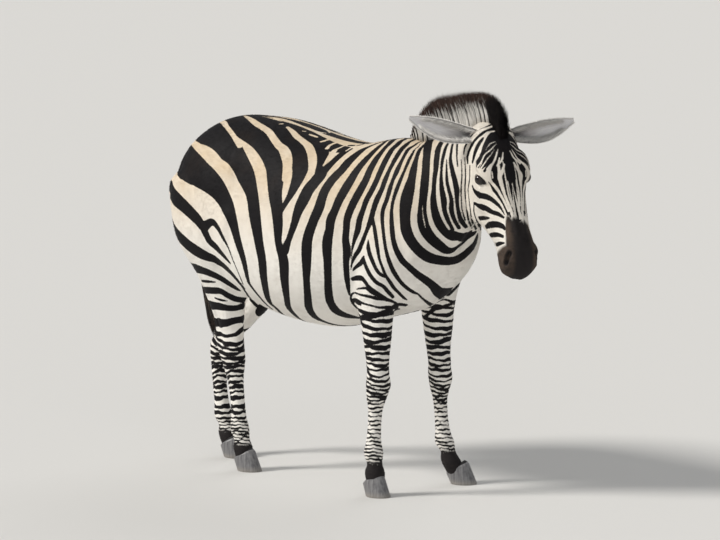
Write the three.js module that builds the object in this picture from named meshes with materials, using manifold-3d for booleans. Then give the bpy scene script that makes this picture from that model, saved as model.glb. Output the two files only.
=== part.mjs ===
// A life-size standing plains zebra as parted solids, in millimetres.
// +X runs from tail to chest, +Y to the animal's left, +Z up; the ground is z = 0.
import * as THREE from 'three';
import { mergeVertices } from 'three/addons/utils/BufferGeometryUtils.js';
import Module from 'manifold-3d';

const wasm = await Module();
wasm.setup();

// ---- Driving dimensions ----
const coatDepth = 4; // the short coat, added to every size of flesh below
const partingGap = 0.5; // thin cut between neighbouring pieces
const headLength = 535; // poll to lips
const headPitch = 61; // degrees that the face points below the horizontal
const headYaw = -24; // degrees that the face turns to the animal's right
const poll = [834, -60, 1336];
const muzzleFrom = 385; // distance from the poll to the cut behind the nostrils
const eyeballRadius = 19;
const eyeAt = { distance: 172, out: -32, sunk: 13 };
const elbowLevel = 705;
const stifleLevel = 735;
const kneeLevel = 345;
const hockLevel = 385;
const withersPoint = [432, 0, 1262]; // the parting between neck and trunk runs from here
const breastPoint = [664, 0, 930]; // to here

const degrees = Math.PI / 180;
const up = new THREE.Vector3(0, 0, 1);

// ---- Tables of form: one row per station ----

// Trunk: x, height of back, height of belly, height of widest level, half-width
const trunkForm = [
  [-682, 1085, 930, 1025, 112],
  [-610, 1190, 852, 1015, 174],
  [-530, 1254, 786, 1000, 224],
  [-430, 1293, 710, 985, 262],
  [-310, 1298, 630, 960, 280],
  [-200, 1293, 592, 920, 294],
  [-90, 1274, 573, 890, 303],
  [20, 1249, 563, 876, 306],
  [120, 1234, 568, 872, 298],
  [200, 1232, 590, 876, 280],
  [280, 1248, 612, 884, 255],
  [360, 1260, 632, 896, 230],
  [450, 1256, 662, 910, 208],
  [540, 1208, 734, 925, 186],
  [605, 1136, 802, 940, 156],
  [658, 1080, 860, 950, 114],
];

// Neck: share of its length, centre x, y, z, reach to the crest, to the throat, to each side
const neckForm = [
  [0.0, 400, 0, 1010, 238, 300, 196],
  [0.3, 540, -6, 1085, 192, 212, 160],
  [0.55, 652, -20, 1142, 156, 160, 118],
  [0.8, 750, -42, 1195, 130, 128, 90],
  [1.0, 826, -60, 1240, 100, 112, 78],
];

// Head: distance from the poll, height of the face line, depth of the jaw line, half-width
const headForm = [
  [-52, -40, -115, 46],
  [-18, 0, -165, 70],
  [40, 18, -205, 84],
  [105, 26, -228, 90],
  [168, 25, -240, 94],
  [225, 18, -236, 88],
  [282, 12, -210, 75],
  [340, 9, -174, 64],
  [392, 6, -146, 59],
  [440, 2, -134, 62],
  [482, -8, -130, 65],
  [515, -28, -120, 56],
  [535, -52, -102, 38],
];

// Swellings of the head: distance, to each side, out of the face; then their reach in those directions
const swellings = {
  brow: { at: [146, 56, -20], reach: [70, 43, 38] },
  jaw: { at: [205, 46, -158], reach: [86, 40, 62] },
  nostril: { at: [452, 38, -38], reach: [36, 28, 30] },
};

// Fore leg: height, reach to the front, to the back, to each side
const foreLegForm = [
  [30, 30, 30, 30],
  [84, 36, 38, 35],
  [116, 28, 29, 27],
  [152, 32, 40, 33],
  [190, 25, 33, 26],
  [250, 23, 29, 22],
  [315, 26, 32, 25],
  [350, 36, 38, 34],
  [398, 46, 42, 42],
  [440, 42, 40, 38],
  [485, 41, 46, 38],
  [560, 50, 55, 46],
  [640, 60, 68, 55],
  [720, 76, 94, 68],
  [800, 116, 120, 80],
  [900, 145, 130, 84],
  [1000, 130, 118, 72],
  [1120, 80, 90, 40],
];

// Hind leg, as above
const hindLegForm = [
  [30, 30, 30, 30],
  [84, 36, 38, 35],
  [116, 29, 31, 28],
  [150, 33, 42, 33],
  [195, 27, 34, 26],
  [265, 27, 32, 24],
  [335, 30, 36, 27],
  [385, 42, 46, 34],
  [430, 50, 60, 37],
  [480, 54, 70, 35],
  [520, 56, 66, 37],
  [560, 62, 66, 43],
  [620, 76, 82, 54],
  [690, 98, 107, 68],
  [760, 132, 136, 88],
  [850, 168, 174, 112],
  [950, 190, 186, 116],
  [1050, 185, 188, 108],
  [1160, 130, 132, 80],
];

// Line of each leg: height, x, y
const legLines = {
  front_right: [
    [0, 380, -172],
    [150, 368, -170],
    [290, 372, -168],
    [400, 380, -165],
    [525, 376, -160],
    [720, 366, -152],
    [900, 400, -146],
    [1120, 400, -120],
  ],
  front_left: [
    [0, 436, 216],
    [150, 397, 182],
    [290, 386, 169],
    [400, 387, 161],
    [525, 385, 155],
    [720, 390, 150],
    [900, 405, 146],
    [1120, 400, 120],
  ],
  hind_right: [
    [0, -322, -100],
    [150, -348, -105],
    [260, -358, -108],
    [360, -369, -111],
    [440, -376, -116],
    [545, -382, -124],
    [640, -386, -134],
    [760, -388, -152],
    [900, -420, -158],
    [1050, -445, -150],
    [1160, -440, -130],
  ],
  hind_left: [
    [0, -562, 80],
    [150, -613, 86],
    [260, -640, 92],
    [360, -646, 98],
    [430, -626, 103],
    [500, -552, 112],
    [560, -502, 122],
    [650, -450, 138],
    [760, -422, 152],
    [900, -430, 158],
    [1050, -445, 150],
    [1160, -440, 130],
  ],
};

// Where each hoof stands and how far its toe turns to the left, in degrees
const hoofStance = {
  front_right: { at: [388, -173], turn: -6 },
  front_left: { at: [448, 222], turn: 24 },
  hind_right: { at: [-310, -99], turn: 4 },
  hind_left: { at: [-550, 79], turn: 4 },
};
const hoof = { height: 80, heelHeight: 40, toe: 52, heel: 46, halfWidth: 41, taper: 0.86 };

// Each ear: root in the head's own directions, tip, and the way its hollow faces
const earStance = {
  right: { root: [22, -56, -34], tip: [618, -271, 1368], open: [0.67, -0.74, 0.06] },
  left: { root: [22, 56, -34], tip: [957, 211, 1347], open: [0.86, -0.5, 0.06] },
};
const earSag = 13; // how far the middle of the ear droops under the line from root to tip
// Share of its length, half-width, depth of the hollow's back, thickness
const earForm = [
  [0, 22, 20, 16],
  [0.15, 29, 27, 9],
  [0.35, 36, 25, 6],
  [0.55, 37, 20, 5],
  [0.75, 28, 13, 5],
  [0.9, 14, 6, 4],
  [1, 3, 2, 3],
];

// Mane: share, x, y, height of its base, height of its tips, half-width
const maneForm = [
  [0, 392, 0, 1225, 1268, 8],
  [0.12, 434, 0, 1222, 1330, 17],
  [0.3, 526, -5, 1226, 1410, 23],
  [0.5, 640, -18, 1240, 1436, 25],
  [0.72, 742, -40, 1266, 1450, 27],
  [0.88, 816, -55, 1290, 1445, 29],
  [1, 880, -72, 1290, 1402, 22],
];

// Dock and tuft of the tail: share of its length, x, y, z, radius
const dockForm = [
  [0, -600, 0, 1178, 40],
  [0.22, -690, 0, 1085, 31],
  [0.5, -706, 4, 950, 25],
  [0.8, -672, 10, 800, 19],
  [1, -640, 14, 705, 15],
];
const tuftForm = [
  [0, -640, 14, 704, 17],
  [0.2, -625, 16, 655, 30],
  [0.55, -604, 19, 560, 32],
  [0.85, -594, 21, 480, 22],
  [1, -591, 22, 440, 8],
];

// ---- Values between rows ----

// A row at any station, on a smooth curve through the rows of the table.
function rowAt(table, at) {
  const last = table.length - 1;
  let i = 0;
  while (i < last - 1 && at > table[i + 1][0]) i++;
  const [a, b] = [table[i], table[i + 1]];
  const [before, after] = [table[Math.max(i - 1, 0)], table[Math.min(i + 2, last)]];
  const span = b[0] - a[0];
  const t = THREE.MathUtils.clamp((at - a[0]) / span, 0, 1);
  return a.map((value, k) => {
    const slopeA = ((b[k] - before[k]) / (b[0] - before[0])) * span;
    const slopeB = ((after[k] - value) / (after[0] - a[0])) * span;
    const t2 = t * t;
    const t3 = t2 * t;
    return (2 * t3 - 3 * t2 + 1) * value + (t3 - 2 * t2 + t) * slopeA
      + (3 * t2 - 2 * t3) * b[k] + (t3 - t2) * slopeB;
  });
}

// How much of a section is left near a rounded end, from 0 at the end to 1 at its reach.
function rounding(fromEnd, reach) {
  const t = THREE.MathUtils.clamp(fromEnd / reach, 0, 1);
  return Math.sqrt(1 - (1 - t) ** 2);
}

const spread = (from, to, count) =>
  Array.from({ length: count + 1 }, (_, i) => from + ((to - from) * i) / count);

// ---- Lofts ----

// A ring of points round a centre; reach holds left, right, up, down and how square it is.
function ring(centre, leftward, upward, reach, sides) {
  const square = 2 / (reach.square ?? 2);
  return spread(0, 2 * Math.PI, sides).slice(0, -1).map((angle) => {
    const [c, s] = [Math.cos(angle), Math.sin(angle)];
    const across = Math.sign(c) * Math.abs(c) ** square * (c > 0 ? reach.left : reach.right);
    const high = Math.sign(s) * Math.abs(s) ** square * (s > 0 ? reach.up : reach.down);
    return centre.clone().addScaledVector(leftward, across).addScaledVector(upward, high);
  });
}

// A closed solid through rings, with a fan over each end.
function loft(rings) {
  const sides = rings[0].length;
  const centres = [rings[0], rings.at(-1)].map((points) =>
    points.reduce((sum, p) => sum.add(p), new THREE.Vector3()).divideScalar(sides));
  const points = [...rings.flat(), ...centres];
  const faces = [];
  rings.slice(1).forEach((_, r) => {
    for (let i = 0; i < sides; i++) {
      const [a, b] = [r * sides + i, r * sides + ((i + 1) % sides)];
      faces.push(a, b, b + sides, a, b + sides, a + sides);
    }
  });
  const [firstCentre, lastCentre] = [points.length - 2, points.length - 1];
  const lastRing = (rings.length - 1) * sides;
  for (let i = 0; i < sides; i++) {
    const next = (i + 1) % sides;
    faces.push(firstCentre, next, i, lastCentre, lastRing + i, lastRing + next);
  }
  return solid(points, faces);
}

// A manifold solid from points and triangles, turned right side out.
function solid(points, faces) {
  const geometry = new THREE.BufferGeometry().setFromPoints(points);
  geometry.setIndex(faces);
  return solidOf(geometry);
}

function solidOf(geometry) {
  const bare = geometry.clone();
  bare.deleteAttribute('normal');
  bare.deleteAttribute('uv');
  const merged = mergeVertices(bare, 1e-3);
  const make = (triVerts) => new wasm.Manifold(new wasm.Mesh({
    numProp: 3,
    vertProperties: new Float32Array(merged.attributes.position.array),
    triVerts: new Uint32Array(triVerts),
  }));
  const made = make(merged.index.array);
  return made.volume() > 0 ? made : make([...merged.index.array].reverse());
}

const point = (x, y, z) => new THREE.Vector3(x, y, z);

// A loft along a curving line of [share, x, y, z, ...] rows, with upright for the top of its rings;
// reachOf turns a row into a ring's reach.
function limb(table, shares, sides, upright, reachOf) {
  const rings = shares.map((share) => {
    const row = rowAt(table, share);
    const ahead = rowAt(table, Math.min(share + 0.01, 1));
    const behind = rowAt(table, Math.max(share - 0.01, 0));
    const along = point(...ahead.slice(1, 4)).sub(point(...behind.slice(1, 4))).normalize();
    const upward = upright.clone().addScaledVector(along, -upright.dot(along)).normalize();
    const leftward = upward.clone().cross(along);
    return ring(point(...row.slice(1, 4)), leftward, upward, reachOf(row, share), sides);
  });
  return loft(rings);
}

// ---- The body's lofts, each able to grow by a margin ----

function trunkLoft(grow) {
  const [first, last] = [trunkForm[0][0] - grow, trunkForm.at(-1)[0] + grow];
  const stations = [0, 6, 22, 48, 85].map((d) => first + d)
    .concat(spread(first + 130, last - 120, 15), [85, 48, 22, 6, 0].map((d) => last - d));
  return loft(stations.map((x) => {
    const [, back, belly, widest, halfWidth] = rowAt(trunkForm, x);
    const keep = rounding(x - first, 95) * rounding(last - x, 120) * 0.97 + 0.03;
    const side = (halfWidth + grow) * keep;
    const reach = {
      left: side, right: side, up: (back + grow - widest) * keep,
      down: (widest - belly + grow) * keep, square: 2.15,
    };
    return ring(point(x, 0, widest), point(0, 1, 0), up, reach, 22);
  }));
}

function neckLoft(grow) {
  return limb(neckForm, spread(0, 1, 8), 20, up, ([, , , , crest, throat, side]) => ({
    left: side + grow, right: side + grow, up: crest + grow, down: throat + grow,
  }));
}

// The head's own directions: along the face to the nose, to its left, and out of the forehead
const [pitch, yaw] = [headPitch * degrees, headYaw * degrees];
const along = point(Math.cos(yaw) * Math.cos(pitch), Math.sin(yaw) * Math.cos(pitch), -Math.sin(pitch));
const leftOfHead = point(-Math.sin(yaw), Math.cos(yaw), 0);
const outOfFace = along.clone().cross(leftOfHead);

const inHead = (distance, left, out) => point(...poll)
  .addScaledVector(along, distance)
  .addScaledVector(leftOfHead, left)
  .addScaledVector(outOfFace, out);

// A ball stretched along the head's own directions.
function headBall(centre, reach, grow) {
  const ball = new THREE.SphereGeometry(1, 12, 7);
  const axes = [along, leftOfHead, outOfFace].map((axis, i) =>
    axis.clone().multiplyScalar(reach[i] + grow));
  return solidOf(ball.applyMatrix4(new THREE.Matrix4().makeBasis(...axes).setPosition(centre)));
}

function headLoft(grow) {
  const [first, last] = [headForm[0][0] - grow, headLength + grow];
  const stations = [0, 5, 18, 40].map((d) => first + d)
    .concat(spread(first + 75, last - 42, 12), [26, 14, 5, 0].map((d) => last - d));
  const bare = loft(stations.map((distance) => {
    const [, face, jaw, halfWidth] = rowAt(headForm, distance);
    const keep = rounding(distance - first, 55) * rounding(last - distance, 40) * 0.95 + 0.05;
    const middle = face + (jaw - face) * 0.42;
    const side = (halfWidth + grow) * keep;
    const reach = {
      left: side, right: side, up: (face + grow - middle) * keep,
      down: (middle - jaw + grow) * keep, square: 2.2,
    };
    return ring(inHead(distance, 0, middle), leftOfHead, outOfFace, reach, 18);
  }));
  return Object.values(swellings).reduce((joined, { at: [distance, side, out], reach }) => joined
    .add(headBall(inHead(distance, side, out), reach, grow))
    .add(headBall(inHead(distance, -side, out), reach, grow)), bare);
}

function eyeBall(side, grow) {
  const [, , , halfWidth] = rowAt(headForm, eyeAt.distance);
  const reach = eyeballRadius + grow;
  const centre = inHead(eyeAt.distance, side * (halfWidth + coatDepth - eyeAt.sunk), eyeAt.out);
  return headBall(centre, [reach, reach, reach], 0);
}

function legLoft(name, grow) {
  const form = name.startsWith('front') ? foreLegForm : hindLegForm;
  const top = form.at(-1)[0];
  const heights = spread(30, 200, 6)
    .concat(spread(250, 560, 9), spread(620, top - 140, 6), [90, 52, 22, 5, 0].map((d) => top - d));
  return loft(heights.map((z) => {
    const [, front, back, side] = rowAt(form, z);
    const [, x, y] = rowAt(legLines[name], z);
    const keep = rounding(top - z, 120) * 0.97 + 0.03;
    const reach = {
      left: (side + grow) * keep, right: (side + grow) * keep,
      up: (front + grow) * keep, down: (back + grow) * keep,
    };
    return ring(point(x, y, z), point(0, 1, 0), point(1, 0, 0), reach, 12);
  }));
}

// A hoof with a flat sole, a slanting front wall and a coronet that falls to the heel.
function hoofSolid(name, grow) {
  const { at: [x, y], turn } = hoofStance[name];
  const rings = [0, 0.3, 1].map((level) => spread(0, 2 * Math.PI, 18).slice(0, -1).map((angle) => {
    const [c, s] = [Math.cos(angle), Math.sin(angle)];
    const rim = (hoof.height + hoof.heelHeight) / 2 + ((hoof.height - hoof.heelHeight) / 2) * c + grow;
    const narrow = 1 - (1 - hoof.taper) * level;
    const lean = -26 * level;
    return point(
      c * ((c > 0 ? hoof.toe : hoof.heel) * narrow + grow) + lean,
      s * (hoof.halfWidth * narrow + grow),
      rim * level,
    ).applyAxisAngle(up, turn * degrees).add(point(x, y, 0));
  }));
  return loft(rings);
}

// A cupped leaf: each section is a crescent, its hollow towards the way the ear opens.
function earShell(side) {
  const { root, tip, open } = earStance[side];
  const from = inHead(...root);
  const line = point(...tip).sub(from);
  const direction = line.clone().normalize();
  const facing = point(...open);
  facing.addScaledVector(direction, -facing.dot(direction)).normalize();
  const across = direction.clone().cross(facing);
  const steps = spread(-1, 1, 5);
  return loft(spread(0, 1, 8).map((share) => {
    const [, halfWidth, depth, thickness] = rowAt(earForm, share);
    const at = (t, back) => from.clone().addScaledVector(line, share)
      .addScaledVector(up, -earSag * Math.sin(Math.PI * share))
      .addScaledVector(across, halfWidth * Math.sin((t * Math.PI) / 2))
      .addScaledVector(facing, -back);
    const outer = steps.map((t) => at(t, depth * (1 - t * t)));
    const hollow = (t) => depth * (1 - t * t) - thickness * (1 - 0.4 * t * t);
    const inner = [...steps].reverse().map((t) => at(t * 0.94, hollow(t)));
    return [...outer, ...inner];
  }));
}

function maneLoft() {
  return loft([0, 0.015, 0.05].concat(spread(0.1, 0.92, 9), [0.96, 0.985, 1]).map((share) => {
    const [, x, y, base, tips, halfWidth] = rowAt(maneForm, share);
    const keep = rounding(share, 0.06) * rounding(1 - share, 0.1) * 0.9 + 0.1;
    const half = ((tips - base) / 2) * keep;
    const reach = { left: halfWidth * keep, right: halfWidth * keep, up: half, down: half, square: 2.8 };
    return ring(point(x, y, (tips + base) / 2), point(0.15, 0.99, 0), up, reach, 12);
  }));
}

function tailLoft(table, blunt) {
  return limb(table, spread(0, 1, 10), 10, point(1, 0, 0), ([, , , , radius], share) => {
    const reach = radius * (rounding(1 - share, blunt) * 0.9 + 0.1);
    return { left: reach, right: reach, up: reach, down: reach };
  });
}

// ---- Parting the body ----

// Everything on one side of a plane, as a very large block.
function beyond(normal, [x, y, z], gap = 0) {
  const size = 4000;
  const block = new THREE.BoxGeometry(size, size, size).translate(0, 0, size / 2 + gap);
  block.applyQuaternion(new THREE.Quaternion().setFromUnitVectors(up, normal.clone().normalize()));
  return solidOf(block.translate(x, y, z));
}

const down = up.clone().negate();
const largest = (made) => made.decompose().reduce((a, b) => (b.volume() > a.volume() ? b : a));
const grown = coatDepth + partingGap;
const legNames = Object.keys(legLines);

function legTop(name) {
  return name.startsWith('front') ? elbowLevel : stifleLevel;
}

const pieces = {};

for (const name of legNames) {
  const bend = name.startsWith('front') ? kneeLevel : hockLevel;
  const leg = legLoft(name, coatDepth);
  pieces[`hoof_${name}`] = hoofSolid(name, 0);
  pieces[`leg_${name}_lower`] = largest(leg
    .intersect(beyond(down, [0, 0, bend]))
    .subtract(hoofSolid(name, partingGap)));
  pieces[`leg_${name}_upper`] = largest(leg
    .intersect(beyond(up, [0, 0, bend], partingGap))
    .intersect(beyond(down, [0, 0, legTop(name)])));
}

const skull = headLoft(coatDepth).subtract(eyeBall(1, partingGap)).subtract(eyeBall(-1, partingGap));
const behindNostrils = inHead(muzzleFrom, 0, 0).toArray();
pieces.head = largest(skull.intersect(beyond(along.clone().negate(), behindNostrils)));
pieces.muzzle = largest(skull.intersect(beyond(along, behindNostrils, partingGap)));
pieces.eye_left = eyeBall(1, 0);
pieces.eye_right = eyeBall(-1, 0);

const [withers, breast] = [point(...withersPoint), point(...breastPoint)];
const forward = point(withers.z - breast.z, 0, breast.x - withers.x).normalize();
const grownHead = headLoft(grown);
let torso = trunkLoft(coatDepth).add(neckLoft(coatDepth));
for (const name of legNames) {
  const buried = 20; // the haunch or shoulder starts this far below the parting, to be cut back to it
  const root = beyond(up, [0, 0, legTop(name) - buried]);
  torso = torso.add(legLoft(name, coatDepth).intersect(root));
}
pieces.neck = largest(torso.intersect(beyond(forward, withersPoint, partingGap)).subtract(grownHead));

let trunk = torso.intersect(beyond(forward.clone().negate(), withersPoint)).subtract(grownHead);
for (const name of legNames) {
  const free = beyond(down, [0, 0, legTop(name)], -partingGap);
  trunk = trunk.subtract(legLoft(name, grown).intersect(free));
}
pieces.trunk = largest(trunk);

const grownBody = trunkLoft(grown).add(neckLoft(grown)).add(grownHead);
pieces.mane = largest(maneLoft().subtract(grownBody));
pieces.ear_left = largest(earShell('left').subtract(grownHead));
pieces.ear_right = largest(earShell('right').subtract(grownHead));
pieces.tail_dock = largest(tailLoft(dockForm, 0.05).subtract(trunkLoft(grown)));
pieces.tail_tuft = tailLoft(tuftForm, 0.12);

// ---- Colours: the ground colour of each piece ----

const coats = { color: 0xd9cbb2, roughness: 0.85, metalness: 0 };
const finishes = {
  trunk: coats,
  neck: coats,
  head: coats,
  muzzle: { color: 0x1d1816, roughness: 0.7, metalness: 0 },
  ear: { color: 0xcfcac4, roughness: 0.9, metalness: 0 },
  eye: { color: 0x140e0a, roughness: 0.08, metalness: 0 },
  leg: { color: 0xe2d9c8, roughness: 0.85, metalness: 0 },
  hoof: { color: 0x55504b, roughness: 0.45, metalness: 0 },
  mane: { color: 0x4a332a, roughness: 0.8, metalness: 0 },
  tail: { color: 0x3a2c25, roughness: 0.8, metalness: 0 },
};

// ---- Scene graph, with the origin on the ground under the middle of the animal ----

const zebra = new THREE.Group();
for (const [name, made] of Object.entries(pieces)) {
  const mesh = made.getMesh();
  const geometry = new THREE.BufferGeometry();
  geometry.setAttribute('position', new THREE.BufferAttribute(mesh.vertProperties, 3));
  geometry.setIndex(new THREE.BufferAttribute(mesh.triVerts, 1));
  const node = new THREE.Mesh(geometry, new THREE.MeshStandardMaterial(finishes[name.split('_')[0]]));
  node.name = name;
  zebra.add(node);
}

const middle = new THREE.Box3().setFromObject(zebra).getCenter(point(0, 0, 0));
zebra.position.set(-middle.x, -middle.y, 0);

export default zebra;
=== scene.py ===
import math
import bmesh
import bpy
import numpy as np
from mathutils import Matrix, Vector
from mathutils.bvhtree import BVHTree


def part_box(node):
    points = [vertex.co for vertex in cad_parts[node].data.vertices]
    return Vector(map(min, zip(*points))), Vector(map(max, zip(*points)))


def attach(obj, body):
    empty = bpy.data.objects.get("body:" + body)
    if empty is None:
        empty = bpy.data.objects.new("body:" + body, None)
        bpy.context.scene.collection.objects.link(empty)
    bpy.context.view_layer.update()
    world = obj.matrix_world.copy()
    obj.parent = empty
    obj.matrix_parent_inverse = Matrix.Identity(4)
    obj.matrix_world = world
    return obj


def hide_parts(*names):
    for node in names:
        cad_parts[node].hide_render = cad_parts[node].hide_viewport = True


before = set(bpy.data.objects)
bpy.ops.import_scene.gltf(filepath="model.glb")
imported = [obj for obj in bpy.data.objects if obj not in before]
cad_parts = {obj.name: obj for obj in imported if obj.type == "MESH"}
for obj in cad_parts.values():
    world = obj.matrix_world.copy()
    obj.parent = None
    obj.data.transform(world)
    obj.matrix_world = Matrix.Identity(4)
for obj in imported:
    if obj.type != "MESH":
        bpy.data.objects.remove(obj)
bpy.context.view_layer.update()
print("frame loaded")

# Everything is worked out in body millimetres: +X from tail to chest, +Y to the animal's left,
# and z = 0 on the ground.
rumpEnd = -686  # where the trunk's solid ends behind, in body millimetres
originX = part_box("trunk")[0].x * 1000 - rumpEnd
up = np.array([0.0, 0.0, 1.0])
leftward = np.array([0.0, 1.0, 0.0])
random = np.random.default_rng(7)


def toRow(points):
    return (np.asarray(points, float) + [originX, 0, 0]) * 0.001


def unit(v):
    v = np.asarray(v, float)
    return v / np.maximum(np.linalg.norm(v, axis=-1, keepdims=True), 1e-9)


def blendStep(low, high, x):
    t = np.clip((np.asarray(x, float) - low) / (high - low), 0, 1)
    return t * t * (3 - 2 * t)


def clearOf(v, axis):
    return v - axis * np.sum(v * axis, axis=-1, keepdims=True)


# A smooth curve from a to b, t from 0 to 1
def curved(t, a, b, slopeA, slopeB):
    return ((2 * t**3 - 3 * t**2 + 1) * a + (t**3 - 2 * t**2 + t) * slopeA
            + (3 * t**2 - 2 * t**3) * b + (t**3 - t**2) * slopeB)


# A hump that fades out on both sides of zero
def bell(x, width):
    return np.exp(-((x / width) ** 2))


# A row at any station, on a smooth curve through the rows of the table
def rowAt(table, at):
    rows = np.array(table, float)
    at = np.atleast_1d(np.asarray(at, float))
    last = len(rows) - 1
    i = np.clip(np.searchsorted(rows[:, 0], at) - 1, 0, last - 1)
    a, b = rows[i], rows[i + 1]
    before, after = rows[np.maximum(i - 1, 0)], rows[np.minimum(i + 2, last)]
    span = (b[:, 0] - a[:, 0])[:, None]
    t = np.clip((at[:, None] - a[:, :1]) / span, 0, 1)
    slopeA = (b - before) / (b[:, :1] - before[:, :1]) * span
    slopeB = (after - a) / (after[:, :1] - a[:, :1]) * span
    return curved(t, a, b, slopeA, slopeB)


def rounding(fromEnd, reach):
    t = np.clip(fromEnd / reach, 0, 1)
    return np.sqrt(1 - (1 - t) ** 2)


# Stations from one end to the other, closer together at both ends
def stations(first, last, count):
    return first + (last - first) * (1 - np.cos(np.linspace(0, math.pi, count))) / 2


# Forms of the animal, the same as the solids carry
trunkForm = [  # x, back, belly, widest level, half-width
    (-682, 1085, 930, 1025, 112), (-610, 1190, 852, 1015, 174), (-530, 1254, 786, 1000, 224),
    (-430, 1293, 710, 985, 262), (-310, 1298, 630, 960, 280), (-200, 1293, 592, 920, 294),
    (-90, 1274, 573, 890, 303), (20, 1249, 563, 876, 306), (120, 1234, 568, 872, 298),
    (200, 1232, 590, 876, 280), (280, 1248, 612, 884, 255), (360, 1260, 632, 896, 230),
    (450, 1256, 662, 910, 208), (540, 1208, 734, 925, 186), (605, 1136, 802, 940, 156),
    (658, 1080, 860, 950, 114),
]
neckForm = [  # share, x, y, z, to the crest, to the throat, to each side
    (0.0, 400, 0, 1010, 238, 300, 196), (0.3, 540, -6, 1085, 192, 212, 160),
    (0.55, 652, -20, 1142, 156, 160, 118), (0.8, 750, -42, 1195, 130, 128, 90),
    (1.0, 826, -60, 1240, 100, 112, 78),
]
headForm = [  # distance from the poll, face line, jaw line, half-width
    (-52, -40, -115, 46), (-18, 0, -165, 70), (40, 18, -205, 84), (105, 26, -228, 90),
    (168, 25, -240, 94), (225, 18, -236, 88), (282, 12, -210, 75), (340, 9, -174, 64),
    (392, 6, -146, 59), (440, 2, -134, 62), (482, -8, -130, 65), (515, -28, -120, 56),
    (535, -52, -102, 38),
]
swellings = [  # centre in the head's directions, reach
    ((146, 56, -20), (70, 43, 38)), ((205, 46, -158), (86, 40, 62)), ((452, 38, -38), (36, 28, 30)),
]
foreLegForm = [  # height, to the front, to the back, to each side
    (30, 30, 30, 30), (84, 36, 38, 35), (116, 28, 29, 27), (152, 32, 40, 33), (190, 25, 33, 26),
    (250, 23, 29, 22), (315, 26, 32, 25), (350, 36, 38, 34), (398, 46, 42, 42), (440, 42, 40, 38),
    (485, 41, 46, 38), (560, 50, 55, 46), (640, 60, 68, 55), (720, 76, 94, 68), (800, 116, 120, 80),
    (900, 145, 130, 84), (1000, 130, 118, 72), (1120, 80, 90, 40),
]
hindLegForm = [
    (30, 30, 30, 30), (84, 36, 38, 35), (116, 29, 31, 28), (150, 33, 42, 33), (195, 27, 34, 26),
    (265, 27, 32, 24), (335, 30, 36, 27), (385, 42, 46, 34), (430, 50, 60, 37), (480, 54, 70, 35),
    (520, 56, 66, 37), (560, 62, 66, 43), (620, 76, 82, 54), (690, 98, 107, 68), (760, 132, 136, 88),
    (850, 168, 174, 112), (950, 190, 186, 116), (1050, 185, 188, 108), (1160, 130, 132, 80),
]
legLines = {  # height, x, y
    "front_right": [(0, 380, -172), (150, 368, -170), (290, 372, -168), (400, 380, -165),
                    (525, 376, -160), (720, 366, -152), (900, 400, -146), (1120, 400, -120)],
    "front_left": [(0, 436, 216), (150, 397, 182), (290, 386, 169), (400, 387, 161),
                   (525, 385, 155), (720, 390, 150), (900, 405, 146), (1120, 400, 120)],
    "hind_right": [(0, -322, -100), (150, -348, -105), (260, -358, -108), (360, -369, -111),
                   (440, -376, -116), (545, -382, -124), (640, -386, -134), (760, -388, -152),
                   (900, -420, -158), (1050, -445, -150), (1160, -440, -130)],
    "hind_left": [(0, -562, 80), (150, -613, 86), (260, -640, 92), (360, -646, 98),
                  (430, -626, 103), (500, -552, 112), (560, -502, 122), (650, -450, 138),
                  (760, -422, 152), (900, -430, 158), (1050, -445, 150), (1160, -440, 130)],
}
dockForm = [  # share, x, y, z, radius
    (0, -600, 0, 1178, 40), (0.22, -690, 0, 1085, 31), (0.5, -706, 4, 950, 25),
    (0.8, -672, 10, 800, 19), (1, -640, 14, 705, 15),
]
tuftForm = [
    (0, -640, 14, 704, 17), (0.2, -625, 16, 655, 30), (0.55, -604, 19, 560, 32),
    (0.85, -594, 21, 480, 22), (1, -591, 22, 440, 8),
]
maneForm = [  # share, x, y, base, tips, half-width
    (0, 392, 0, 1225, 1268, 8), (0.12, 434, 0, 1222, 1330, 17), (0.3, 526, -5, 1226, 1410, 23),
    (0.5, 640, -18, 1240, 1436, 25), (0.72, 742, -40, 1266, 1450, 27),
    (0.88, 816, -55, 1290, 1445, 29), (1, 880, -72, 1290, 1402, 22),
]
legNames = list(legLines)
legSigns = {name: (1 if name.startswith("front") else -1, -1 if name.endswith("right") else 1)
            for name in legNames}  # front or hind, left or right

# The head's own directions: along the face to the nose, to its left, and out of the forehead
headPose = {"poll": (834, -60, 1336), "pitch": 61, "yaw": -24, "length": 535}
pitch, yaw = math.radians(headPose["pitch"]), math.radians(headPose["yaw"])
level = math.cos(pitch)
faceward = np.array([math.cos(yaw) * level, math.sin(yaw) * level, -math.sin(pitch)])
headLeft = np.array([-math.sin(yaw), math.cos(yaw), 0.0])
faceOut = np.cross(faceward, headLeft)
headAxes = (faceward, headLeft, faceOut)
poll = np.array(headPose["poll"], float)


def inHead(distance, left, out):
    distance, left, out = (np.asarray(v, float)[..., None] for v in (distance, left, out))
    return poll + distance * faceward + left * headLeft + out * faceOut


def headPlace(points):
    return np.stack([(points - poll) @ axis for axis in headAxes], axis=-1)


# Where the head's own hide begins, a little behind the cheek
def isHeadAt(points):
    place = headPlace(points)
    return (place[:, 0] > 20) & (points[:, 0] > 780) & (place[:, 2] > -262)


# The camera's angle, and where the animal's origin falls in its picture
view = {
    "azimuth": 42, "elevation": 7.3, "distance": 15000, "pixelsPerMetre": 275,
    "origin": (330, 477), "image": (720, 540), "sensor": 36,
}


def cameraAxes():
    a, e = math.radians(view["azimuth"]), math.radians(view["elevation"])
    right = np.array([math.cos(a), math.sin(a), 0])
    back = np.array([math.sin(a) * math.cos(e), -math.cos(a) * math.cos(e), math.sin(e)])
    return right, np.cross(back, right), back


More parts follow.
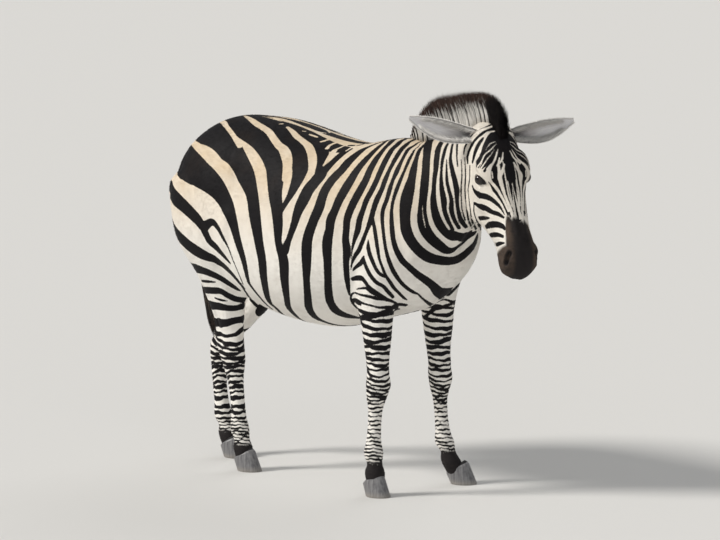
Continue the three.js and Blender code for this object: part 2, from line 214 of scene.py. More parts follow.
camRight, camUp, camBack = cameraAxes()
pixel = 1000 / view["pixelsPerMetre"]  # millimetres of one pixel at the animal
aim = (camRight * (view["image"][0] / 2 - view["origin"][0]) * pixel
       + camUp * (view["origin"][1] - view["image"][1] / 2) * pixel)
eyePoint = aim + camBack * view["distance"]


# The way that a pixel looks from the camera
def sightLine(px, py):
    across, high = (px - view["image"][0] / 2) * pixel, (view["image"][1] / 2 - py) * pixel
    return unit(aim + camRight * across + camUp * high - eyePoint)


def addCamera():
    data = bpy.data.cameras.new("camera")
    data.sensor_width = view["sensor"]
    data.lens = view["sensor"] * view["distance"] / (view["image"][0] * pixel)
    data.clip_end = 60
    camera = bpy.data.objects.new("camera", data)
    bpy.context.scene.collection.objects.link(camera)
    camera.location = toRow(eyePoint)
    camera.rotation_euler = Vector(-camBack).to_track_quat("-Z", "Y").to_euler()
    bpy.context.scene.camera = camera


lighting = {  # where each lamp stands, how wide its light is in degrees, and its strength
    "key": {"from": (-3.6, -4.6, 5.0), "wide": 14, "strength": 2.75, "colour": (1.0, 0.975, 0.93)},
    "fill": {"from": (4.5, -4.5, 2.6), "wide": 50, "strength": 0.35, "colour": (0.9, 0.95, 1.0)},
    "rim": {"from": (-1.0, 4.6, 3.6), "wide": 40, "strength": 0.5, "colour": (1.0, 1.0, 1.0)},
    "sky": 0.42, "skyColour": (0.80, 0.81, 0.82), "floor": (0.68, 0.67, 0.65), "floorReach": 60000,
}


def addLights():
    for name in ("key", "fill", "rim"):
        spec = lighting[name]
        data = bpy.data.lights.new(name, "SUN")
        data.angle = math.radians(spec["wide"])
        data.energy = spec["strength"]
        data.color = spec["colour"]
        lamp = bpy.data.objects.new(name, data)
        bpy.context.scene.collection.objects.link(lamp)
        lamp.location = spec["from"]
        lamp.rotation_euler = Vector(spec["from"]).to_track_quat("Z", "Y").to_euler()
    world = bpy.data.worlds.new("studio")
    world.use_nodes = True
    world.node_tree.nodes["Background"].inputs["Color"].default_value = (*lighting["skyColour"], 1)
    world.node_tree.nodes["Background"].inputs["Strength"].default_value = lighting["sky"]
    bpy.context.scene.world = world
    bpy.context.scene.view_settings.view_transform = "Standard"


# Shader nodes written as expressions
class Socket:
    def __init__(self, shader, socket):
        self.shader, self.socket = shader, socket

    def maths(self, operation, a, b=None):
        values = {0: a} if b is None else {0: a, 1: b}
        return self.shader.node("ShaderNodeMath", {"operation": operation}, values)

    def __add__(self, other):
        return self.maths("ADD", self, other)

    def __sub__(self, other):
        return self.maths("SUBTRACT", self, other)

    def __mul__(self, other):
        return self.maths("MULTIPLY", self, other)

    def __rsub__(self, other):
        return self.maths("SUBTRACT", other, self)

    def root(self):
        return self.maths("SQRT", self)

    __radd__, __rmul__ = __add__, __mul__


class Shader:
    def __init__(self, name):
        self.material = bpy.data.materials.new(name)
        self.material.use_nodes = True
        self.tree = self.material.node_tree
        self.surface = self.tree.nodes["Principled BSDF"]

    # Any node: its type, the settings made first, its sockets' values or links, and the output wanted
    def node(self, kind, settings=None, sockets=None, out=0):
        made = self.tree.nodes.new(kind)
        for name, value in (settings or {}).items():
            setattr(made, name, value)
        self.feed(made, sockets or {})
        return Socket(self, made.outputs[out])

    def feed(self, made, sockets):
        for name, value in sockets.items():
            if isinstance(value, Socket):
                self.tree.links.new(value.socket, made.inputs[name])
            else:
                made.inputs[name].default_value = value

    def finish(self, **sockets):
        named = {name.replace("_", " "): value for name, value in sockets.items()}
        self.feed(self.surface, named)
        return self.material

    def value(self, name):
        return self.node("ShaderNodeAttribute", {"attribute_name": name}, out="Fac")

    def vector(self, name):
        return self.node("ShaderNodeAttribute", {"attribute_name": name}, out="Vector")

    # The three parts of a vector
    def parts(self, vector):
        split = self.node("ShaderNodeSeparateXYZ", {}, {"Vector": vector}).socket.node
        return [Socket(self, output) for output in split.outputs]

    def place(self):
        return self.node("ShaderNodeNewGeometry", out="Position")

    def noise(self, where, scale, detail=3.0, roughness=0.55):
        return self.node("ShaderNodeTexNoise", {}, {
            "Vector": where, "Scale": scale, "Detail": detail, "Roughness": roughness}, "Fac")

    def stretched(self, where, scale):
        return self.node("ShaderNodeVectorMath", {"operation": "MULTIPLY"},
                         {0: where, 1: scale})

    def between(self, low, high, value):
        return self.node("ShaderNodeMapRange", {"interpolation_type": "SMOOTHSTEP"}, {
            "Value": value, "From Min": low, "From Max": high})

    # Two colours by a share; 0, 6 and 7 are the node's sockets for colours, and 2 is its output
    def mix(self, share, a, b):
        a, b = ((*colour, 1) if isinstance(colour, tuple) else colour for colour in (a, b))
        return self.node("ShaderNodeMix", {"data_type": "RGBA"}, {0: share, 6: a, 7: b}, 2)

    def bump(self, height, strength, distance):
        return self.node("ShaderNodeBump", {}, {
            "Height": height, "Strength": strength, "Distance": distance})


# A row of rings; reach holds left, right, up and down for each ring
def ringRow(centres, lefts, ups, reach, sides, square=2.0):
    angle = np.linspace(0, 2 * math.pi, sides, endpoint=False)
    c, s = np.cos(angle), np.sin(angle)
    across = np.sign(c) * np.abs(c) ** (2 / square)
    high = np.sign(s) * np.abs(s) ** (2 / square)
    left, right, above, below = (np.broadcast_to(r, len(centres))[:, None] for r in reach)
    wide = np.where(c > 0, left, right) * across
    tall = np.where(s > 0, above, below) * high
    lefts, ups = (np.broadcast_to(v, (len(centres), 3)) for v in (lefts, ups))
    return (centres[:, None] + wide[..., None] * lefts[:, None]
            + tall[..., None] * ups[:, None])


# A closed tube through rings, with a fan over each end
def tube(rings):
    count, sides = rings.shape[:2]
    points = np.concatenate([rings.reshape(-1, 3), rings[:1].mean(1), rings[-1:].mean(1)])
    i = np.arange(sides)
    j = (i + 1) % sides
    faces = []
    for start in range(0, (count - 1) * sides, sides):
        corners = (start + i, start + j, start + sides + j, start + sides + i)
        faces += np.stack(corners, 1).tolist()
    first, last = len(points) - 2, len(points) - 1
    base = (count - 1) * sides
    faces += [[first, b, a] for a, b in zip(i.tolist(), j.tolist())]
    faces += [[last, base + a, base + b] for a, b in zip(i.tolist(), j.tolist())]
    return points, faces


def makeObject(name, points, faces, material, smooth=True):
    mesh = bpy.data.meshes.new(name)
    mesh.from_pydata(toRow(points).tolist(), [], faces)
    mesh.calc_loop_triangles()
    a, b, c = (toRow(points)[[t.vertices[k] for t in mesh.loop_triangles]] for k in range(3))
    if np.sum(a * np.cross(b, c)) < 0:
        mesh.flip_normals()
    return placeObject(name, mesh, material, smooth)


def placeObject(name, mesh, material, smooth=True):
    mesh.polygons.foreach_set("use_smooth", np.full(len(mesh.polygons), smooth))
    mesh.materials.append(material)
    made = bpy.data.objects.new(name, mesh)
    bpy.context.scene.collection.objects.link(made)
    return made


def addAttribute(mesh, name, values):
    values = np.asarray(values, np.float32)
    kind, key = ("FLOAT", "value") if values.ndim == 1 else ("FLOAT_VECTOR", "vector")
    mesh.attributes.new(name, kind, "POINT").data.foreach_set(key, values.ravel())


# A mesh of triangles straight from arrays
def arrayMesh(name, points, triangles):
    mesh = bpy.data.meshes.new(name)
    mesh.vertices.add(len(points))
    mesh.vertices.foreach_set("co", toRow(points).astype(np.float32).ravel())
    mesh.loops.add(triangles.size)
    mesh.loops.foreach_set("vertex_index", triangles.astype(np.int32).ravel())
    mesh.polygons.add(len(triangles))
    mesh.polygons.foreach_set("loop_start", np.arange(0, triangles.size, 3, dtype=np.int32))
    mesh.update(calc_edges=True)
    mesh.validate()
    return mesh


def alongLine(table, shares):
    rows = rowAt(table, shares)
    ahead = rowAt(table, np.minimum(shares + 0.01, 1))[:, 1:4]
    behind = rowAt(table, np.maximum(shares - 0.01, 0))[:, 1:4]
    return rows, unit(ahead - behind)


def limb(table, count, sides, upright, reachOf):
    shares = np.linspace(0, 1, count)
    rows, ahead = alongLine(table, shares)
    ups = unit(clearOf(np.array(upright, float), ahead))
    return tube(ringRow(rows[:, 1:4], np.cross(ups, ahead), ups, reachOf(rows, shares), sides))


def trunkShell():
    first, last = trunkForm[0][0], trunkForm[-1][0]
    x = stations(first, last, 150)
    _, back, belly, widest, half = rowAt(trunkForm, x).T
    keep = rounding(x - first, 95) * rounding(last - x, 120) * 0.97 + 0.03
    centres = np.stack([x, 0 * x, widest], 1)
    reach = (half * keep, half * keep, (back - widest) * keep, (widest - belly) * keep)
    return tube(ringRow(centres, leftward, up, reach, 110, 2.15))


def neckShell():
    def reachOf(rows, shares):
        crest, throat, side = rows[:, 4:7].T
        return side, side, crest, throat
    return limb(neckForm, 50, 80, up, reachOf)


def headShell():
    first, last = headForm[0][0], headPose["length"]
    d = stations(first, last, 90)
    _, face, jaw, half = rowAt(headForm, d).T
    keep = rounding(d - first, 55) * rounding(last - d, 40) * 0.95 + 0.05
    middle = face + (jaw - face) * 0.42
    reach = (half * keep, half * keep, (face - middle) * keep, (middle - jaw) * keep)
    return tube(ringRow(inHead(d, 0 * d, middle), headLeft, faceOut, reach, 70, 2.2))


def ball(centre, reach, axes, rings=16, sides=28):
    angle = np.linspace(0.04, math.pi - 0.04, rings)
    centres = np.asarray(centre) - np.cos(angle)[:, None] * np.asarray(axes[0]) * reach[0]
    thin = np.sin(angle)
    sizes = (reach[1] * thin, reach[1] * thin, reach[2] * thin, reach[2] * thin)
    return tube(ringRow(centres, axes[1], axes[2], sizes, sides))


def legForm(name):
    return foreLegForm if name.startswith("front") else hindLegForm


def legShell(name):
    form = legForm(name)
    top = form[-1][0]
    z = stations(form[0][0], top, 130)
    _, front, back, side = rowAt(form, z).T
    _, x, y = rowAt(legLines[name], z).T
    keep = rounding(top - z, 120) * 0.97 + 0.03
    reach = (side * keep, side * keep, front * keep, back * keep)
    return tube(ringRow(np.stack([x, y, z], 1), leftward, np.array([1.0, 0, 0]), reach, 40))


def dockShell():
    def reachOf(rows, shares):
        reach = (rows[:, 4] - 3) * (rounding(1 - shares, 0.05) * 0.9 + 0.1)
        return reach, reach, reach, reach
    return limb(dockForm, 60, 28, (1, 0, 0), reachOf)


skinDetail = {"voxel": 5.0, "settle": 6, "creaseSteps": 46, "creaseSpread": 13, "creaseDepth": 0.22}
eyeSpec = {
    "radius": 20, "distance": 179, "out": -39, "sunk": 12, "bulge": 0.035,
    "iris": (0.032, 0.015, 0.008), "rim": (0.008, 0.005, 0.004), "pupil": (0.002, 0.002, 0.003),
}


def eyeCentre(side):
    half = rowAt(headForm, eyeSpec["distance"])[0][3]
    return inHead(eyeSpec["distance"], side * (half + 4 - eyeSpec["sunk"]), eyeSpec["out"])


def joinShells(shells):
    points, faces, start = [], [], 0
    for shellPoints, shellFaces in shells:
        points.append(shellPoints)
        faces += [[start + i for i in face] for face in shellFaces]
        start += len(shellPoints)
    return np.concatenate(points), faces


def remeshed(shells, voxel):
    points, faces = joinShells(shells)
    mesh = bpy.data.meshes.new("shells")
    mesh.from_pydata(points.tolist(), [], faces)
    rough = bpy.data.objects.new("shells", mesh)
    bpy.context.scene.collection.objects.link(rough)
    modifier = rough.modifiers.new("remesh", "REMESH")
    modifier.mode, modifier.voxel_size, modifier.adaptivity = "VOXEL", voxel, 0
    shown = rough.evaluated_get(bpy.context.evaluated_depsgraph_get())
    made = bpy.data.meshes.new_from_object(shown)
    bpy.data.objects.remove(rough)
    return made


# The places of a mesh's points, or their normals
def pointsOf(mesh, key="co"):
    values = np.empty(len(mesh.vertices) * 3, np.float32)
    mesh.vertices.foreach_get(key, values)
    return values.reshape(-1, 3).astype(float)


def setPoints(mesh, points):
    mesh.vertices.foreach_set("co", points.astype(np.float32).ravel())
    mesh.update()


class Web:
    def __init__(self, mesh):
        edges = np.empty(len(mesh.edges) * 2, np.int32)
        mesh.edges.foreach_get("vertices", edges)
        self.a, self.b = edges.reshape(-1, 2).T
        self.size = len(mesh.vertices)
        self.count = np.maximum(np.bincount(self.a, minlength=self.size)
                                + np.bincount(self.b, minlength=self.size), 1)

    def mean(self, values):
        if values.ndim == 1:
            total = (np.bincount(self.a, values[self.b], self.size)
                     + np.bincount(self.b, values[self.a], self.size))
            return total / self.count
        return np.stack([self.mean(column) for column in values.T], 1)


# Splits every face whose corners are chosen into four
def refine(mesh, chosen):
    work = bmesh.new()
    work.from_mesh(mesh)
    edges = [e for e in work.edges if chosen[e.verts[0].index] and chosen[e.verts[1].index]]
    bmesh.ops.subdivide_edges(work, edges=edges, cuts=1, use_grid_fill=True)
    bmesh.ops.triangulate(work, faces=[f for f in work.faces if len(f.verts) > 4])
    work.to_mesh(mesh)
    work.free()
    mesh.update()


# How far each point is from a line of corners
def farFrom(points, line):
    line = np.asarray(line, float)
    best = np.full(len(points), np.inf)
    for a, b in zip(line[:-1], line[1:]):
        step = b - a
        t = np.clip((points - a) @ step / max(step @ step, 1e-9), 0, 1)
        best = np.minimum(best, np.linalg.norm(points - a - t[:, None] * step, axis=1))
    return best


def legPoint(name, height, ahead=0.0, out=0.0):
    _, x, y = rowAt(legLines[name], height)[0]
    return np.array([x + ahead, y + legSigns[name][1] * out, height])


# Muscles and bones on both sides: a line of (x, z), its radius and how far it stands out
bodyReliefs = [
    ([(505, 1200), (560, 1040), (600, 930)], 58, 6),
    ([(425, 1150), (440, 960), (400, 800)], 30, -7), ([(470, 850), (430, 800)], 62, 9),
    ([(352, 716), (345, 740)], 30, 6), ([(612, 905), (600, 880)], 46, 9),
    ([(-205, 1110), (-215, 1040)], 62, -11), ([(-262, 1190), (-250, 1150)], 36, 8),
    ([(-160, 690), (-235, 770), (-262, 860), (-250, 960)], 26, 7),
    ([(-205, 800), (-215, 900)], 36, -5), ([(-440, 1160), (-400, 1060)], 100, 8),
    ([(-560, 1150), (-600, 1000), (-585, 860)], 17, -6),
    ([(-515, 1120), (-530, 960), (-500, 800)], 42, 5),
    ([(-300, 770), (-310, 740)], 44, 8), ([(-390, 900), (-360, 800)], 70, 5),
    ([(520, 1180), (640, 1230), (760, 1300)], 34, 5),
    ([(560, 1000), (690, 1085), (790, 1150)], 24, -6),
    ([(600, 960), (720, 1050), (800, 1110)], 26, 3),
    ([(380, 940), (300, 760), (240, 690)], 40, 3),
]
fineRelief = {  # in millimetres
    "ribSpacing": 52, "ribHeight": 0.9, "middleWidth": 26, "rearHollow": 26, "breastHollow": 16,
}


def sculptBody(points, normals):
    flat = points[:, [0, 2]]
    facing = blendStep(0.25, 0.8, np.abs(normals[:, 1])) * (points[:, 2] > 600)
    facing *= 1 - blendStep(-30, 30, headPlace(points)[:, 0])
    for line, radius, height in bodyReliefs:
        reach = bell(farFrom(flat, line), radius)
        points += normals * (reach * facing * height)[:, None]
    slant = points[:, 0] + 0.35 * (points[:, 2] - 900)
    ribs = np.sin(slant * 2 * math.pi / fineRelief["ribSpacing"])
    cage = (blendStep(-170, -60, points[:, 0]) * (1 - blendStep(240, 330, points[:, 0]))
            * blendStep(680, 800, points[:, 2]) * (1 - blendStep(1040, 1150, points[:, 2])))
    points += normals * (ribs * cage * facing * fineRelief["ribHeight"])[:, None]
    x, y, z = points.T
    middle = bell(y, fineRelief["middleWidth"])
    rear = middle * (1 - blendStep(-660, -600, x)) * (1 - blendStep(1040, 1090, z))
    points[:, 0] += rear * fineRelief["rearHollow"]
    breast = middle * blendStep(600, 650, x) * (1 - blendStep(1080, 1150, z))
    points[:, 0] -= breast * fineRelief["breastHollow"] * blendStep(820, 900, z)


# Each leg: a line of (height, ahead, out), its radius and how far it stands out
foreReliefs = [
    ([(175, -14, 24), (250, -12, 21), (320, -13, 24)], 8, -3.5),
    ([(175, -14, -24), (250, -12, -21), (320, -13, -24)], 8, -3.5),
    ([(380, 42, 12), (400, 44, -12)], 18, 4), ([(365, 8, 38), (410, 6, 40)], 16, 3),
    ([(415, -40, 0), (425, -42, 0)], 15, 6), ([(455, 30, 24), (600, 30, 34)], 20, 3),
    ([(470, -4, 34), (600, -8, 44)], 10, -4), ([(152, -34, 0), (140, -38, 0)], 13, 5),
    ([(152, 4, 31), (150, 0, 31)], 15, 2.5), ([(110, -22, 14), (118, -24, -14)], 10, -3),
]
hindReliefs = [
    ([(200, -15, 24), (280, -14, 22), (350, -14, 24)], 8, -3.5),
    ([(200, -15, -24), (280, -14, -22), (350, -14, -24)], 8, -3.5),
    ([(455, -60, 0), (490, -66, 0)], 15, 6), ([(470, -28, 32), (560, -34, 34)], 17, -7),
    ([(470, -28, -32), (560, -34, -34)], 17, -7), ([(400, 10, 34), (430, 8, 34)], 18, 3),
    ([(395, 38, 6), (410, 40, -6)], 16, 3), ([(560, 30, 36), (660, 40, 54)], 26, 5),
    ([(152, -36, 0), (140, -40, 0)], 13, 5), ([(110, -22, 14), (118, -24, -14)], 10, -3),
]


def sculptLegs(points, normals):
    for name in legNames:
        front, side = legSigns[name]
        near = (points[:, 2] < 720) & (points[:, 0] * front > 0) & (points[:, 1] * side > 0)
        for line, radius, height in foreReliefs if front > 0 else hindReliefs:
            corners = [legPoint(name, z, ahead, out) for z, ahead, out in line]
            reach = bell(farFrom(points[near], corners), radius)
            points[near] += normals[near] * (reach * height)[:, None]


# The head, in its own directions (distance, to the side, out of the face): line, radius, height
headReliefs = [
    ([(150, 66, -2), (190, 62, 2), (222, 58, -8)], 15, 4),
    ([(128, 62, -18), (120, 58, -30)], 15, -5),
    ([(212, 84, -60), (262, 72, -74), (322, 58, -80)], 11, 3.5),
    ([(225, 62, -30), (300, 48, -32), (380, 42, -36)], 18, -5),
    ([(240, 22, 14), (320, 18, 10), (400, 16, 4)], 9, 2.5),
    ([(280, 70, -118), (350, 60, -100)], 20, -4),
    ([(150, 70, -200), (230, 66, -196), (270, 60, -178)], 22, 4),
    ([(160, 0, -232), (300, 0, -196), (400, 0, -144)], 22, -7),
    ([(440, 46, -66), (470, 52, -70)], 16, 2), ([(512, 0, -126), (500, 0, -134)], 24, 6),
    ([(520, 20, -60), (524, 0, -58)], 22, 4), ([(470, 0, -4), (500, 0, -20)], 12, -3),
]
nostrilSpec = {
    "line": [(465, 50, -18), (477, 58, -27), (487, 58, -38), (489, 52, -48)],
    "radius": 8.0, "depth": 13, "rim": 15, "rimHeight": 3.2,
}
mouthSpec = {
    "line": [(528, 0, -82), (518, 28, -84), (492, 48, -92), (462, 54, -98), (440, 52, -98)],
    "radius": 3.6, "depth": 6, "rim": 12, "rimHeight": 2.6,
}


# The points of the skin nearest to the corners of a line
def onSurface(place, line):
    return [place[np.argmin(np.linalg.norm(place - corner, axis=1))] for corner in line]


def mirroredLine(line):
    return [[(d, side * l, o) for d, l, o in line] for side in (1, -1)]


def sculptHead(points, normals):
    near = np.linalg.norm(points - inHead(250, 0, -100), axis=1) < 400
    place = headPlace(points[near])
    move = np.zeros(near.sum())
    for line, radius, height in headReliefs:
        for each in mirroredLine(line):
            move += bell(farFrom(place, each), radius) * height
    for spec in (nostrilSpec, mouthSpec):
        for each in mirroredLine(spec["line"]):
            away = farFrom(place, onSurface(place, each))
            groove = np.exp(-((away / spec["radius"]) ** 4))
            move += bell(away, spec["rim"]) * spec["rimHeight"]
            move -= groove * (spec["depth"] + spec["rimHeight"])
    points[near] += normals[near] * move[:, None]


lidSpec = {  # the slit between the lids, their edge and the fold above them
    "half": 20.0, "upper": 9.6, "lower": 7.0, "tilt": -46, "over": 2.2, "sunk": 3.5,
    "edgeAt": 2.0, "edgeWidth": 2.2, "edgeHeight": 1.3,
    "foldAt": 17.5, "foldWidth": 2.0, "foldDepth": 1.6,
}


# Directions at an eye: along the slit towards the nose, up across it, and out of the socket
def eyeAxes(side):
    outward = unit(headLeft * side * 0.9 + faceOut * 0.42 + faceward * 0.1)
    tilt = math.radians(lidSpec["tilt"])
    slit = unit(clearOf(faceward * math.cos(tilt) - faceOut * math.sin(tilt), outward))
    return slit, unit(np.cross(slit, outward)) * (1 if side < 0 else -1), outward


def slitDepth(u, v):
    t = np.clip(np.abs(u) / lidSpec["half"], 0, 1)
    arch = (1 - t**2.2) * np.where(v > 0, lidSpec["upper"], lidSpec["lower"])
    return np.abs(v) - arch + 30 * np.maximum(np.abs(u) / lidSpec["half"] - 1, 0)


# Draws the skin over each eyeball as lids, and sinks it behind the ball in the slit
def sculptLids(points):
    for side in (1, -1):
        centre, (slit, over, outward) = eyeCentre(side), eyeAxes(side)
        away = points - centre
        near = np.linalg.norm(away, axis=1) < 52
        part = away[near]
        u, v, w = part @ slit, part @ over, part @ outward
        fromCentre = np.linalg.norm(part, axis=1)
        shell = eyeSpec["radius"] + lidSpec["over"]
        fromSlit = slitDepth(u, v)
        front = blendStep(-4, 8, w)
        lift = np.maximum(shell - fromCentre, 0)
        part += unit(part) * (lift * front * (fromSlit > 0))[:, None]
        edge = bell(fromSlit - lidSpec["edgeAt"], lidSpec["edgeWidth"]) * (fromSlit > -0.5) * front
        part += outward * (edge * lidSpec["edgeHeight"])[:, None]
        aside = np.hypot(u / 1.25, v - 2) - lidSpec["foldAt"]
        fold = bell(aside, lidSpec["foldWidth"]) * (v > 2) * front
        part -= outward * (fold * lidSpec["foldDepth"])[:, None]
        sink = (fromSlit <= 0) & (w > 0)
        length = np.linalg.norm(part, axis=1)
        behind = eyeSpec["radius"] - lidSpec["sunk"]
        scale = np.where(sink, behind / np.maximum(length, 1), 1)
        points[near] = centre + part * scale[:, None]


def skinMesh():
    shells = [trunkShell(), neckShell(), headShell(), dockShell()]
    shells += [legShell(name) for name in legNames]
    for (distance, left, out), reach in swellings:
        for side in (1, -1):
            shells.append(ball(inHead(distance, left * side, out), reach, headAxes))
    mesh = remeshed(shells, skinDetail["voxel"])
    print("skin remeshed:", len(mesh.polygons), "faces")
    place = headPlace(pointsOf(mesh))
    refine(mesh, (place[:, 0] > -40) & (np.abs(place[:, 1]) < 125) & (place[:, 2] > -270))
    for side in (1, -1):
        refine(mesh, np.linalg.norm(pointsOf(mesh) - eyeCentre(side), axis=1) < 40)
    web = Web(mesh)
    points = pointsOf(mesh)
    for _ in range(skinDetail["settle"]):
        points += (web.mean(points) - points) * 0.5
    setPoints(mesh, points)
    hollow = np.sum((web.mean(points) - points) * pointsOf(mesh, "normal"), axis=1)
    crease = (hollow > skinDetail["creaseDepth"]).astype(float)
    crease *= (np.linalg.norm(points - inHead(320, 0, -60), axis=1) > 260)
    spread = crease
    for _ in range(skinDetail["creaseSpread"]):
        spread = np.maximum(spread, web.mean(spread) * 1.02)
    weight = np.clip(spread * 2.2, 0, 1)[:, None]
    for _ in range(skinDetail["creaseSteps"]):
        points += (web.mean(points) - points) * weight * 0.6
    setPoints(mesh, points)
    normals = pointsOf(mesh, "normal")
    sculptBody(points, normals)
    sculptLegs(points, normals)
    sculptHead(points, normals)
    for _ in range(2):
        points += (web.mean(points) - points) * 0.5
    sculptLids(points)
    setPoints(mesh, points)
    return mesh


